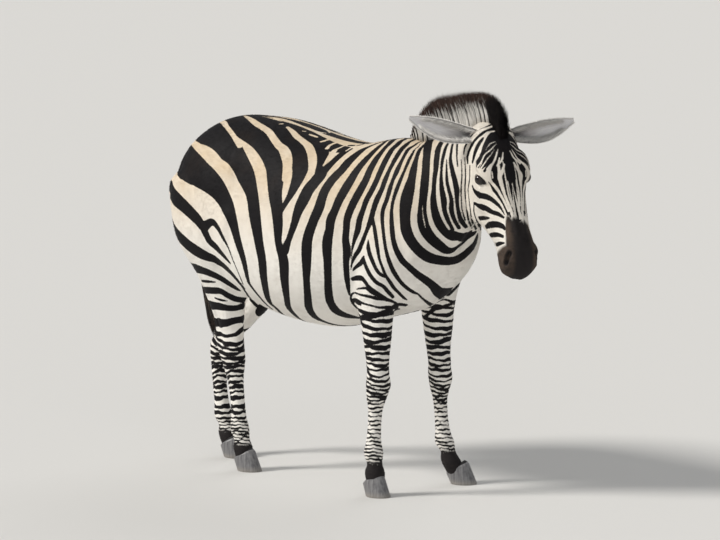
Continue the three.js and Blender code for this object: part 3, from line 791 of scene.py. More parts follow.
# Dark stripes of the near side as pixel x, y and half-width, from the back downwards. "over" carries
# a stripe on across the back or rump to the middle line, "round" a little way round the thigh, and
# "under" across the belly.
bodyStripes = [
    ("over", [(186, 161, 12), (196, 171, 11.5), (208, 180, 10.5), (218, 190, 9), (227, 205, 7),
        (233, 222, 5.7), (237.5, 240, 4.6), (243.5, 260, 3.5), (248, 280, 2), (251, 286, 1.6),
        (258, 295, 1.4), (265, 303, 1.3), (272, 309, 1.2)]),
    ("over under", [(209.5, 132, 9.5), (222, 142, 9.3), (233, 153, 9.5), (244, 171, 9),
        (251.5, 192, 7), (255, 215, 6.7), (258.5, 240, 5.5), (262, 260, 5), (264, 280, 4),
        (268.5, 300, 2.5), (276, 308, 2), (281, 313, 1.8)]),
    ("over under", [(237.5, 118.5, 7), (247, 130, 8.5), (260.5, 140.5, 8.5), (269, 153, 8),
        (274, 166, 8), (275.5, 179, 8.5), (275.5, 194, 7), (277, 210, 6), (278, 225, 5.5),
        (278.5, 243, 4), (283.5, 260, 5.5), (284.5, 280, 4.5), (287, 300, 2.8), (289, 308, 2.5),
        (294, 314, 2.2), (300, 319, 1.8), (310, 323, 1.5)]),
    ("over", [(268, 122, 6), (281, 131, 7), (288.5, 139.5, 7.7), (297.5, 146, 8), (300, 157, 8.5),
        (301, 166, 8), (298.5, 177, 6.7), (293, 189.5, 4.6), (287, 201, 3), (281, 210, 3)]),
    ("", [(318, 145, 3), (321, 152, 4.6), (320, 161, 4), (321, 173, 6), (315, 181.5, 6),
        (308.5, 190, 6.3), (303, 200, 6.3), (298, 211.5, 5), (293.5, 226, 3.8), (289, 239, 3.2),
        (285, 250, 4.5)]),
    ("over under", [(373, 145, 1.5), (362.4, 150, 3), (350.3, 160, 4.5), (341.6, 170, 4.6),
        (332, 180, 4.7), (325.3, 190, 4.8), (321.5, 200, 5), (319, 208, 5.3), (313, 222, 5),
        (307.7, 238, 5.3), (306.5, 252, 5.5), (306.5, 268, 4.5), (306.5, 280, 3.5), (308, 300, 3.5),
        (309, 308, 3.4), (313, 315, 3), (318, 319, 2.6), (325, 322, 2)]),
    ("over under", [(388, 140, 1.5), (383, 143.5, 1.7), (375.3, 150, 2.3), (365.5, 160, 3.3),
        (357.2, 170, 3.8), (350.8, 180, 4.5), (344.8, 190, 4.8), (339.2, 200, 4.5), (335, 210, 4.2),
        (330.8, 220, 4.8), (329.5, 230, 4.5), (327.5, 240, 5.2), (327, 250, 5), (327.5, 260, 4.3),
        (328, 280, 3.7), (328.4, 290, 3.8), (329.7, 300, 3.8), (332, 305, 3.8), (336, 310.5, 4),
        (343, 314.5, 3.8), (350, 316.5, 3.2), (356, 317.5, 2.2), (361, 318, 1.8)]),
    ("over", [(392.5, 140.5, 2.2), (388, 145, 2), (383.2, 150, 2.1), (375.6, 160, 3.1),
        (370, 170, 3.5), (365.8, 180, 3.8), (360.4, 190, 4.1), (355, 200, 4.1), (350.2, 210, 4),
        (347, 220, 3.8), (346.3, 230, 3.5), (345.6, 240, 3.7), (346.9, 250, 4.2), (346.1, 260, 3.3),
        (346.4, 270, 3), (347.2, 280, 2.7), (348.6, 290, 1.7), (349.5, 295, 0.8)]),
    ("over", [(177, 200, 6), (187, 209, 5.5), (197, 219, 5), (204, 226, 4.5), (212, 222, 3),
        (218, 228, 2.4), (222, 236, 1.8), (228, 247, 1), (233, 260, 0.8), (238, 272, 0.7),
        (243, 284, 0.7)]),
    ("", [(204, 229, 4), (210, 241, 3.4), (217, 248, 3), (224, 256, 2.2), (230, 263, 1)]),
    ("over", [(180, 238, 5), (189, 246, 5.5), (198, 252, 5.5), (207, 256.5, 4.6), (216, 260, 3.8),
        (225, 267, 3), (232, 274, 2.6), (243, 287, 2)]),
    ("round", [(190, 265, 2.5), (192, 267, 3.4), (203, 270.5, 3.6), (213, 274.5, 3.4),
        (222, 279, 3), (230, 284, 2.8), (238, 289, 2.4)]),
    ("", [(202, 281, 1), (208, 281.5, 1.3), (215, 282, 0.8)]),
    ("round", [(202, 290, 2), (212, 290.5, 3), (220, 291, 3), (228, 295.5, 3), (236, 299, 3),
        (244, 300, 2.6)]),
    ("", [(215, 298, 0.8), (221, 300, 1.2), (227, 301, 0.8)]),
    ("round", [(210, 305, 3.2), (220, 306.5, 3.4), (228, 308, 3.2), (236, 308, 3), (243, 306, 3)]),
    ("round", [(213, 322, 3), (225, 323, 3.6), (233, 321, 3.6), (243, 319, 3)]),
    ("", [(243, 288, 1.4), (250, 298, 1.8), (256, 305, 1.8), (263, 309, 1.6), (270, 312, 1.2)]),
    # loin and withers
    ("", [(268, 119, 1.6), (278, 121.5, 2.6), (290, 125.5, 3.4), (300, 130, 4.6), (309, 135, 6),
        (318, 141, 7), (328, 145.5, 6.5), (338, 148.5, 5.5), (346, 149.5, 4)]),
    ("", [(320, 146, 4.5), (322.5, 154, 5), (321.5, 164, 4.4), (320, 172, 4.4)]),
    ("", [(350, 149, 2), (342, 154, 3), (334, 161, 3.2), (327, 168.5, 3.4), (321, 176, 3.4)]),
    ("", [(350, 145.5, 1.5), (358, 145.4, 1.2), (366, 143.4, 1)]),
    # shoulder
    ("over", [(400, 142, 1.8), (397, 145, 2.3), (391.8, 150, 2.5), (385.8, 160, 3), (381, 170, 2.8),
        (376.8, 180, 2.9), (372, 190, 2.9), (366.6, 200, 2.9), (363, 210, 2.8), (359.6, 220, 3.1),
        (357.8, 230, 3.1), (354.4, 240, 2), (352.2, 250, 0.9), (351.2, 258, 0.6)]),
    ("over", [(409, 142.5, 1.2), (406, 145, 1.9), (401, 150, 2.2), (394.8, 160, 2.3),
        (389.6, 170, 2.1), (385.2, 180, 2.6), (381.5, 190, 2.6), (376.8, 200, 3), (373.4, 210, 2.8),
        (370.8, 220, 2.9), (367, 230, 2.1), (363.2, 240, 2.2), (359, 250, 2.3), (355, 256, 1.9),
        (352, 263, 1.2), (351, 269, 0.7)]),
    ("", [(372.8, 218, 1.6), (373.8, 224, 1.7), (374.8, 230, 2.1), (376.3, 240, 2.1),
        (377.8, 250, 1.9), (379.7, 260, 1.5), (383.4, 270, 1.5), (386, 276, 1.6), (390, 282, 1.7),
        (394, 288, 1.6), (399, 293, 1.6), (404, 298, 1.4), (407, 300, 0.6)]),
    ("", [(368.3, 239, 0.4), (368.2, 246, 2.1), (368.7, 250, 2.3), (370, 255, 2.3),
        (372.2, 260.5, 2.2), (374.6, 266, 2), (377, 270.5, 1.9), (380, 274, 1.8),
        (384, 276.5, 1.5)]),
    ("", [(364.3, 255.5, 0.5), (363, 259, 1.9), (361, 263, 2.2), (357.8, 265.5, 1.8),
        (354.4, 268.6, 1.4), (353, 270.8, 0.7)]),
    ("", [(363.8, 259, 1.5), (365.4, 265, 2), (368.3, 271.5, 2.1), (371.6, 277, 2.1),
        (376.7, 282.6, 2.1), (383.3, 286.4, 1.9), (387.8, 291.5, 1.8), (393, 297, 1.5)]),
    ("", [(352.8, 279, 2), (357.8, 278, 2.2), (362, 278.5, 2.2), (365.5, 282.4, 2), (369, 287, 1.9),
        (375.5, 291.7, 1.8), (382, 296, 1.7), (389, 300.5, 1.4)]),
    ("", [(356.7, 289, 0.7), (362, 288.2, 1), (366, 288.4, 1.2), (371, 291.9, 1.6),
        (379, 296.2, 1.5), (386.7, 300.5, 1.2)]),
    ("", [(354.4, 301, 1), (357.5, 303, 1.3), (360.5, 304.4, 1.2)]),
    ("over", [(417, 143.5, 1), (414.6, 145.5, 1.3), (408, 150, 1.7), (402.3, 160, 1.9),
        (397.4, 170, 2.6), (393, 180, 1.9), (389.6, 190, 2.4), (386.7, 200, 2.2), (383, 210, 2.2),
        (382.3, 220, 2), (383.2, 230, 1.8), (384.3, 240, 1.8), (386, 250, 1.8), (388.7, 260, 2.1),
        (392.8, 270, 2.2), (397, 277, 2), (401.6, 283, 2), (407, 288, 1.9), (413, 292, 1.7),
        (418, 294, 1)]),
    ("over", [(421, 143.5, 0.6), (418, 147, 0.8), (414.6, 150, 0.9), (409.2, 160, 1.9),
        (404.8, 170, 1.6), (400.6, 180, 2), (396.6, 190, 2.1), (393.4, 200, 1.8), (391.7, 210, 1.8),
        (391.6, 220, 2.3), (392.2, 230, 2.5), (393.4, 240, 2.5), (396.4, 250, 2.8), (402, 260, 3.1),
        (409, 267, 3.3), (417, 274, 3.4), (424, 279, 3.5), (432, 285, 3.4), (438, 291.5, 3.6),
        (443, 297, 2.6)]),
    ("", [(443, 296, 3.4), (449, 292.5, 3.4), (455, 288, 2.2), (461, 283, 1.5), (467, 277, 1.4),
        (473, 270, 1.4), (477, 263, 1.1), (480, 257, 0.8)]),
    ("", [(437, 290, 2.4), (443, 291.5, 3.4), (450, 290, 2.6)]),
    # neck and chest
    ("over", [(424, 145, 1.1), (419.6, 150, 1.7), (416, 160, 2.4), (413.6, 170, 3.8),
        (411.4, 180, 4.6), (408.9, 190, 6), (406.5, 200, 6.4), (405.2, 210, 5.9), (405, 220, 5.4),
        (406.2, 230, 5.6), (410.4, 240, 5.3), (418.4, 250, 5.1), (428, 257, 5), (438, 260, 4.5),
        (450, 261, 4), (460, 258, 4), (468, 252, 4), (474, 245, 3.6), (477, 237, 2.6)]),
    ("over", [(428, 145, 3), (427.5, 150, 3.5), (426.4, 160, 4), (425.8, 170, 4.2), (425, 180, 4.5),
        (424, 190, 4.5), (423, 200, 4.2), (422.2, 210, 4.4), (422.6, 220, 5.3), (425, 229, 5.6),
        (431, 238, 5.2), (440, 246, 4.5), (447, 250.5, 3.4), (453, 250, 2.4), (458, 246.5, 1.6),
        (463, 242.5, 1.5), (467, 238.5, 1.6), (472, 233.5, 2)]),
    ("over", [(438, 150, 2.9), (436.6, 160, 3), (435.8, 170, 2.7), (434.4, 180, 2.4),
        (433.8, 190, 2.4), (433.4, 200, 3.2), (434.6, 210, 3.8), (437.5, 220, 4.3), (442, 228, 4.2),
        (448, 235, 3.4), (454, 238, 2.9), (462, 237, 2.4), (470, 232, 1.8)]),
    ("over", [(445, 150, 1.9), (442.6, 160, 1.9), (441.5, 170, 1.5), (441.2, 180, 2),
        (442, 190, 2.6), (443.8, 200, 3.1), (444.5, 210, 2.4), (447.8, 220, 2.1), (453, 230, 1.4)]),
    ("", [(446.5, 160, 0.7), (447, 180, 1.7), (449, 190, 1.9), (451.5, 200, 2.1), (451.5, 210, 2.4),
        (454.5, 220, 1.9), (459, 228, 1.7)]),
    ("over", [(451.5, 150, 1.5), (450.5, 160, 1.9), (452.3, 170, 2.5), (454.8, 180, 2.9),
        (456.7, 190, 2.9), (457, 200, 2), (458.2, 210, 1.8), (461, 220, 2.2), (466, 227, 1.7)]),
    ("over", [(457, 150, 1.2), (457, 158, 1), (457.6, 166, 0.9)]),
    ("", [(461.3, 160, 0.7), (462, 175, 0.8), (461.2, 190, 0.8), (462, 208, 0.7), (465, 220, 0.9)]),
    ("", [(464.8, 158, 0.7), (465.6, 175, 0.8), (465, 190, 0.8), (466.3, 205, 0.8),
        (468.5, 220, 0.9), (472, 228, 0.8)]),
    ("", [(470, 166, 0.8), (469.6, 180, 0.8), (468.2, 190, 0.8), (469.8, 205, 0.8), (472, 220, 0.9),
        (476, 229, 1)]),
    ("", [(474, 203, 0.7), (474, 212, 0.8), (476.5, 220, 0.8), (481, 228, 1.4), (484.5, 232, 1.5)]),
    ("", [(418, 294, 0.9), (422, 298, 1), (427, 302, 1.2), (431.5, 305, 1.7), (436, 307.5, 2.6),
        (441, 307.5, 2), (446, 305.5, 1.5), (452, 304, 1.1)]),
    ("", [(436, 307.5, 2.4), (431.5, 311, 2), (427.5, 314.5, 1.4), (424, 316.5, 0.8)]),
    ("", [(454, 303.5, 1.1), (458, 300, 1.7), (462, 295.5, 1.4)]),
    ("", [(455, 310, 1.4), (460.5, 304.5, 1.2)]),
    ("", [(450, 233, 3.6), (458, 236, 4), (466, 236.5, 3.6), (474, 233.5, 2.4)]),
    # forehead
    ("", [(490.5, 125, 1), (484, 128.6, 1.4), (477.5, 132.5, 1.6), (471.5, 137, 1.5),
        (467, 143, 1.3), (464.5, 149, 1.1), (463.8, 154, 0.8)]),
    ("", [(489, 129.5, 1), (483, 133, 1.5), (477.5, 138, 1.7), (472.5, 144, 1.6), (469.5, 150, 1.6),
        (467.5, 157, 1.4), (467.8, 163, 0.9)]),
    ("", [(483, 138.5, 1.3), (479.5, 143, 1.9), (476.4, 149, 2), (474.4, 155, 1.8),
        (472.5, 162, 1.2)]),
    ("", [(492, 133, 1.6), (488, 138, 2.4), (484.6, 144, 2.1), (481.8, 150, 1.6), (479.2, 157, 1.5),
        (476.6, 162, 1.2)]),
    ("", [(494, 141, 1.5), (489, 147, 1.5), (485, 153, 1.4), (481.5, 160, 1.3), (478.4, 167, 1)]),
    ("", [(497, 142, 1.4), (493, 148.5, 1.5), (488.5, 155, 1.5), (485, 161, 1.4),
        (481, 167.5, 1.2)]),
    ("", [(499, 144, 1.5), (496, 152, 1.7), (492.5, 159, 1.8), (488.5, 165.5, 1.6),
        (484.5, 171, 1.3)]),
    ("", [(500, 132, 5), (501, 140, 5.5), (500.5, 150, 3.6), (498.5, 160, 2.8), (494.8, 170, 3.2),
        (494.5, 178, 3), (497.5, 186, 2.2), (501.5, 195, 1.7), (505.5, 204, 1.3), (508.6, 211, 1),
        (510.5, 217, 0.8)]),
    ("", [(488, 138, 3), (485.5, 144, 3.2), (484, 150, 3.2), (481.5, 156, 3), (478.5, 162, 2.2),
        (476.5, 166, 1)]),
    ("", [(494, 137, 3.2), (493, 144, 4), (491, 151, 4.2), (488, 158, 4), (484.5, 164, 2.6),
        (482, 168, 1.2)]),
    ("", [(505, 129, 4), (508, 140, 6.5), (508, 152, 8.5), (509, 164, 8.5), (510.5, 176, 8),
        (511.5, 186, 7), (513, 196, 6), (515, 206, 5), (517, 213, 3.8), (518.5, 219, 2.6)]),
    # cheek
    ("", [(472.4, 186, 0.8), (474.5, 191, 1.6), (479, 195, 2.4), (485, 196.4, 2.6), (491, 199, 2.2),
        (496.5, 203.4, 1.7), (501, 208, 1.4), (504.6, 214, 0.8)]),
    ("", [(488.5, 181, 0.8), (491.2, 185, 1.2), (493.8, 190, 1.6), (497.4, 195, 1.8),
        (501, 200, 1.5), (503.8, 205, 1.3), (506.3, 210, 1.2), (508, 215, 0.8)]),
    ("", [(474.6, 203.4, 1.1), (479.5, 206.4, 2), (486, 208.4, 2.4), (492, 212, 2), (498, 214, 1.9),
        (503.5, 217.4, 1.1)]),
    ("", [(479.8, 218.4, 1.6), (484, 218, 1.5), (489, 218, 0.8)]),
    ("", [(486, 227, 1.4), (490, 225, 2.2), (496, 224.4, 2.6), (502, 226, 2.2), (505, 229, 1.3)]),
    ("", [(487, 236.4, 1), (492, 235, 1.6), (498, 234.8, 1.7), (503, 236.6, 1.2)]),
    ("", [(491.4, 243, 0.8), (496, 244.6, 1.3), (500, 243.6, 1.4), (504, 243, 0.9)]),
]

# Light gaps that run on over the rump to the middle line
rumpLights = [
    [(222, 121.5, 1.4), (229, 129.5, 1.7), (235, 138, 1.9), (240, 146, 2.2)],
    [(194, 143.5, 2), (199.5, 150, 2.2), (206, 157, 2.4)],
    [(175.5, 180, 3), (183, 187, 3.4), (190, 193, 3.6)],
]

# Light lines drawn over the dark ones, in the same way
lightStripes = [
    [(245, 115.8, 1.2), (251, 119.4, 1.9), (257, 124, 2.3), (263, 127.6, 2.5), (269, 132, 2.7),
        (274, 139, 2.9), (278.5, 145, 3.2), (284, 150, 3.9), (287, 157, 4.3), (287.4, 167, 4.4),
        (286, 178, 4)],
    [(287.6, 127.3, 1.2), (292.6, 131.6, 2), (297, 136.6, 2.5), (303, 141.2, 2.6),
        (308.4, 146.2, 3.1), (311.4, 153, 3.4), (312.6, 160, 3.7), (312.2, 168, 3.5),
        (309.5, 176, 3)],
    [(491, 126.8, 1), (486, 128.6, 1.2), (480, 131, 1.3), (475, 134.6, 1.3), (471, 139.4, 1.3),
        (468.4, 145, 1.2), (466.6, 151, 1.1)],
    [(494.6, 131.2, 0.7), (490, 132.2, 0.9), (486.6, 135.6, 1.1), (484, 141, 0.9), (482, 146, 0.8),
        (480.5, 151, 0.8), (478.8, 155.4, 0.9), (476, 160, 1), (473.4, 165, 0.9)],
    [(485.4, 135.4, 0.7), (481.6, 136.8, 0.7), (478.5, 139.6, 1), (475, 144, 1.1),
        (472.8, 149, 1.1), (471.5, 155, 1), (470, 161, 0.9)],
    [(495, 141.8, 0.4), (491, 143.4, 0.6), (488, 146.4, 0.5), (486, 149.6, 0.3)],
    [(496.5, 144, 0.4), (493, 147.4, 0.6), (490, 150.4, 0.7), (486.6, 153, 0.7), (484, 156, 0.7),
        (482.4, 159.6, 0.7), (480.4, 163, 0.7), (477.6, 166.4, 0.8)],
    [(494, 150, 0.3), (491, 154.6, 0.5), (488, 158.2, 0.6), (485.8, 161.4, 0.7),
        (483.6, 164.6, 0.7), (481, 168.4, 0.8)],
    [(498, 149, 0.4), (496.8, 154, 0.7), (495.4, 158.6, 0.8), (493, 163, 0.9), (490, 166, 1),
        (487.4, 169.4, 1.1)],
    [(260, 115.6, 0.4), (270, 118.2, 0.6), (281, 121.2, 0.5)],
    [(279.5, 124, 0.6), (283, 123.8, 0.6)],
    [(284, 118.8, 0.3), (296, 123.2, 0.6), (308, 128.4, 0.6), (320, 132.2, 0.8), (326, 133.2, 0.5)],
    [(302.6, 131.2, 0.5), (306, 131.4, 0.5)], [(310, 134.6, 0.9), (314, 136, 1.2), (317, 137, 0.9)],
    [(321, 141.8, 0.9), (326, 140.4, 1), (331, 138.6, 0.8), (335, 138.8, 0.4)],
    [(327, 148.4, 1.5), (329.6, 145.6, 1.2), (334, 143.4, 1), (339, 141.8, 0.7), (344, 142, 0.4)],
    [(323.4, 165.6, 0.8), (327, 160.6, 1.5), (331, 155, 2), (334.6, 150.6, 2)],
    [(336, 149.4, 1), (341, 147.2, 0.7), (346, 145, 0.6), (351, 143.2, 0.5)],
    [(346, 151, 0.7), (351, 148, 0.8), (357.5, 144.8, 0.6)],
    [(422.5, 206, 0.4), (422.9, 213, 0.6), (423.8, 220, 0.6), (425.6, 228, 0.6)],
    [(474, 187, 0.8), (479, 188.4, 2), (484.5, 189, 2.3), (488, 192.5, 1)],
    [(486, 177.5, 1.1), (491.5, 182.6, 1.4), (497, 189, 1.4), (501, 195.5, 1.2),
        (505.2, 203.5, 1.1), (508.6, 211, 1.1)],
    [(487.4, 183, 0.8), (489.6, 188, 1), (492.4, 192.4, 1.1), (495.4, 196.4, 1.2),
        (498.6, 200.6, 1.1), (501.8, 205.6, 1), (504.4, 211, 0.9), (506.6, 217, 0.8)],
    [(499.4, 158, 0.6), (498.4, 165, 1), (499.4, 176, 1.1), (502, 186, 1.1), (505.4, 196, 1.1),
        (509.5, 206, 1.2), (512, 213, 1.4)],
    [(503, 162, 0.5), (504.5, 172, 0.6), (506.6, 184, 0.7), (509, 196, 0.8), (512.4, 206, 1)],
    [(497, 152, 0.6), (494.6, 160, 0.9), (490.6, 167, 0.9), (487, 172, 1.3)],
    [(492, 172, 0.6), (492.6, 178, 0.7)],
    [(512.5, 183, 0.4), (513, 195, 0.5), (514.5, 208, 0.9), (515.5, 219, 1.2)],
    [(516, 180, 0.5), (517.5, 194, 0.6), (519, 206, 0.8), (520, 219, 0.8)],
    [(510, 151, 0.5), (514, 158, 0.9), (520, 163.4, 0.9)],
    [(514, 163, 0.9), (518, 170, 1.5), (521, 175, 1.6), (521.4, 182, 0.7)],
]

# Bands round each leg as pixel heights at its left edge, middle and right edge, and a half-width
foreBands = [
    (293.5, 295.7, 302, 1.5), (300, 304.3, 306.4, 1.6), (308.6, 312.8, 310.7, 1.9),
    (315.7, 319.3, 318.5, 1.9), (322.9, 327, 325.7, 1.9), (331.4, 333.6, 330.7, 2.2),
    (340, 340, 337, 2.2), (346.4, 345.7, 346.4, 2.1), (352.9, 352, 352, 1.8),
    (357, 358.5, 358.6, 1.6), (362, 364, 363, 1.5), (367, 368.6, 367, 1.4), (370.7, 375, 371, 1.4),
    (376.4, 379.5, 377, 1.3), (380.5, 384, 383, 1.3), (384.6, 388, 386.5, 1.4),
    (390, 391.8, 391, 1.4), (394.8, 395.5, 394.5, 1.3), (399.5, 399, 398.5, 1.3),
    (403.5, 402.5, 402, 1.1), (408, 407, 406.5, 1), (412, 411, 411, 0.9), (416.5, 415.5, 416, 0.9),
    (421.5, 420, 421, 0.9), (425.5, 424, 425, 0.9), (429.5, 428.5, 429.5, 0.9),
    (433.5, 432.5, 434, 0.9), (438, 436.5, 438, 0.9), (441.5, 440.5, 442, 0.9),
    (445, 444, 446, 0.9), (448.5, 447.5, 449.5, 0.9), (452, 451, 453, 0.9),
    (455.5, 454.5, 456.5, 0.9), (459, 458, 459.5, 1), (462.5, 461.5, 462.5, 1),
]
hindBands = [
    (334, 333, 326, 2.4), (339, 343, 336, 2), (345, 348, 343, 1.8), (352, 352, 348.5, 1.8),
    (357, 357, 355, 1.8), (363, 361.5, 361, 1.7), (368, 364.8, 366, 1.7), (374, 369.5, 372, 1.7),
    (378.5, 374.5, 377, 1.6), (383.5, 380.5, 382, 1.5), (388, 385.5, 386, 2),
    (393, 390.5, 391, 1.3), (398, 396.8, 396, 2.2), (406, 405.6, 405, 2.2), (412, 411.5, 411, 1.8),
    (417.5, 417, 417, 1.2), (421, 420.5, 421, 1), (424.5, 423.8, 424.5, 0.9), (428, 427, 428, 0.9),
    (431, 430, 431, 0.9), (434, 433, 434, 0.9), (437, 436, 437, 0.9), (440, 439, 440, 0.9),
    (443, 442, 443, 0.9), (446, 445, 446, 1),
]


# Points at even steps along a line of rows, on a smooth curve through them
def evenly(rows, step):
    rows = np.asarray(rows, float)
    before = np.vstack([rows[:1] * 2 - rows[1:2], rows[:-1]])
    after = np.vstack([rows[1:], rows[-1:] * 2 - rows[-2:-1]])
    slope = (after - before) / 2
    made = []
    for i in range(len(rows) - 1):
        length = np.linalg.norm((rows[i + 1] - rows[i])[:2])
        t = np.linspace(0, 1, max(int(length / step), 1), endpoint=False)[:, None]
        made.append(curved(t, rows[i], rows[i + 1], slope[i], slope[i + 1]))
    return np.vstack(made + [rows[-1:]])


middleLine = np.array([
    (-900, 0), (400, 0), (540, -6), (652, -20), (750, -42), (834, -60), (1200, -223)], float)
strokeSpec = {  # steps and reaches of the strokes; in millimetres, but "pixelStep" in pixels
    "pixelStep": 1.0, "walkStep": 4, "meets": 3, "over": 300, "round": 130, "under": 200, "steer": 6,
    "steepest": 0.35, "spineHalf": 10, "loinHalf": 14, "bellyHalf": 12.0, "cell": 44.0, "faint": -12.0,
    "wander": (9, 5), "swell": 0.12, "chest": (430, 770), "seenWithin": 8,
}


# Mirrors points about the animal's middle line, which bends with the neck and head
def mirrored(points):
    flat = points[:, :2]
    best = np.full(len(points), np.inf)
    result = points.copy()
    for a, b in zip(middleLine[:-1], middleLine[1:]):
        step = b - a
        t = np.clip((flat - a) @ step / (step @ step), 0, 1)
        gap = np.linalg.norm(flat - a - t[:, None] * step, axis=1)
        across = unit(np.array([-step[1], step[0]]))
        other = flat - 2 * ((flat - a) @ across)[:, None] * across
        closer = gap < best
        result[closer, :2] = other[closer]
        best = np.minimum(best, gap)
    return result


# The places in a list of points that share a cell, for each cell
def byCell(points):
    keys = np.floor(points / strokeSpec["cell"]).astype(int)
    order = np.lexsort(keys.T)
    edges = np.flatnonzero(np.any(np.diff(keys[order], axis=0), axis=1)) + 1
    return [(tuple(keys[chunk[0]]), chunk) for chunk in np.split(order, edges)]


class Markings:
    def __init__(self, tree):
        self.tree = tree
        self.dots = {"dark": [], "light": [], "spine": []}

    def add(self, points, radii, kind="dark"):
        self.dots[kind].append(np.column_stack([points, radii]))

    def snapped(self, points):
        return np.array([self.tree.find_nearest(Vector(p))[0] for p in points])

    # Casts a row of pixels on to the skin; a pixel off the outline is dropped
    def cast(self, rows):
        found = []
        for px, py, half in rows:
            way = Vector(sightLine(px, py))
            spot, normal, _, _ = self.tree.ray_cast(Vector(eyePoint), way)
            if spot is not None:
                slope = max(-normal.dot(way), strokeSpec["steepest"])
                found.append((*spot, half * pixel / slope**0.45))
        return np.array(found)

    # Carries a stripe on over the surface until it meets the middle line
    def walked(self, start, ahead, half, reach):
        made, spot, way, step = [], start, unit(ahead), strokeSpec["walkStep"]
        for _ in range(int(reach / step)):
            spot, normal, _, _ = self.tree.find_nearest(Vector(spot + way * step))
            spot = np.array(spot)
            way = unit(clearOf(way, np.array(normal)))
            made.append((*spot, half))
            if abs(spot[1] - np.interp(spot[0], *middleLine.T)) < strokeSpec["meets"]:
                break
        return made

    def addStripe(self, carried, rows, kind="dark"):
        line = self.cast(evenly(rows, strokeSpec["pixelStep"]))
        if len(line) < 2:
            return
        way, _, under = carried.partition(" ")
        if way:
            steer = line[0, :3] - line[min(strokeSpec["steer"], len(line) - 1), :3]
            on = self.walked(line[0, :3], steer, line[0, 3], strokeSpec[way])
            line = np.vstack([on[::-1], line])
        if under:
            steer = line[-1, :3] - line[max(-1 - strokeSpec["steer"], -len(line)), :3]
            on = self.walked(line[-1, :3], steer, line[-1, 3], strokeSpec["under"])
            line = np.vstack([line, on])
        self.addBoth(line, kind)

    # A stripe and its mirror on the other side, which wanders a little and skips the chest in view
    def addBoth(self, line, kind):
        self.add(line[:, :3], line[:, 3], kind)
        other = mirrored(line[:, :3])
        free = blendStep(10, 90, np.abs(other[:, 1])) * blendStep(560, 700, other[:, 2])
        slow, quick = strokeSpec["wander"]
        other[:, 0] += free * (slow * np.sin(other[:, 2] / 95 + 1.3) + quick * np.sin(other[:, 0] / 60))
        other = self.snapped(other)
        width = line[:, 3] * (1 + strokeSpec["swell"] * np.sin(other[:, 2] / 40))
        low, high = strokeSpec["chest"]
        drawn = (other[:, 0] > low) & (other[:, 0] < high) & self.inView(other)
        self.add(other[~drawn], width[~drawn], kind)

    def inView(self, points):
        seen = []
        for point in points:
            way = unit(point - eyePoint)
            hit = self.tree.ray_cast(Vector(eyePoint), Vector(way))[0]
            near = strokeSpec["seenWithin"]
            seen.append(hit is not None and (hit - Vector(point)).length < near)
        return np.array(seen, bool)

    # Rings round a leg, each through its three heights as seen, with small waves
    def addBands(self, name, bands):
        angle = np.linspace(0, 2 * math.pi, 80, endpoint=False)
        turned = angle - math.atan2(camBack[1], camBack[0])
        for left, centre, right, half in bands:
            left, centre, right = (self.heightOn(name, py) for py in (left, centre, right))
            middle = (left + right) / 2
            z = middle + (right - left) / 2 * np.sin(turned) + (centre - middle) * np.cos(turned)
            z += 1.6 * np.sin(3 * angle + middle) + 1.0 * np.sin(7 * angle + 2 * middle)
            _, x, y = rowAt(legLines[name], z).T
            _, front, back, side = rowAt(legForm(name), z).T
            reach = np.where(np.cos(angle) > 0, front, back)
            ring = np.stack([x + reach * np.cos(angle), y + side * np.sin(angle), z], 1)
            width = half * pixel * (1 + 0.25 * np.sin(2 * angle + middle / 9))
            self.add(self.snapped(ring), width)

    # The height at which a pixel row crosses the middle of a leg
    def heightOn(self, name, py):
        z = 400.0  # a first guess, bettered three times
        for _ in range(3):
            spot = legPoint(name, z)
            depth = 1 - (spot @ camBack) / view["distance"]
            high = (view["image"][1] / 2 - py) * pixel * depth + aim @ camUp
            z += (high - spot @ camUp) / camUp[2]
        return z

    # How far inside a dark marking each point lies, in millimetres; below zero on the light ground
    def depthAt(self, points):
        depth = np.minimum(self.reach(points, "dark"), -self.reach(points, "light"))
        return np.maximum(depth, self.reach(points, "spine"))

    def reach(self, points, kind):
        dots = np.vstack(self.dots[kind])
        groups = {key: dots[chunk] for key, chunk in byCell(dots[:, :3])}
        best = np.full(len(points), strokeSpec["faint"])
        around = [(i, j, k) for i in (-1, 0, 1) for j in (-1, 0, 1) for k in (-1, 0, 1)]
        for key, chunk in byCell(points):
            cells = [tuple(np.add(key, shift)) for shift in around]
            near = [groups[cell] for cell in cells if cell in groups]
            if near:
                near = np.vstack(near)
                here, there = points[chunk], near[:, :3]
                square = (here**2).sum(1)[:, None] + (there**2).sum(1)[None] - 2 * here @ there.T
                gap = np.sqrt(np.maximum(square, 0))
                best[chunk] = np.maximum(best[chunk], (near[:, 3][None] - gap).max(1))
        return best


def dressMarkings(tree):
    marks = Markings(tree)
    for carried, rows in bodyStripes:
        marks.addStripe(carried, rows)
    for carried, lights in (("over", rumpLights), ("", lightStripes)):
        for rows in lights:
            marks.addStripe(carried, rows, "light")
    for name in legNames:
        marks.addBands(name, foreBands if legSigns[name][0] > 0 else hindBands)
    x = np.arange(-640, 400, 4.0)
    top = marks.snapped(np.stack([x, 0 * x, rowAt(trunkForm, x)[:, 1]], 1))
    loin = blendStep(-240, -120, x) * (1 - blendStep(240, 330, x))
    half = strokeSpec["spineHalf"] + strokeSpec["loinHalf"] * loin
    marks.add(top, half)
    marks.add(top[x < -260], half[x < -260], "spine")
    x = np.arange(-240, 420, 4.0)
    belly = marks.snapped(np.stack([x, 0 * x, rowAt(trunkForm, x)[:, 2]], 1))
    marks.add(belly, np.full(len(x), strokeSpec["bellyHalf"]))
    return marks


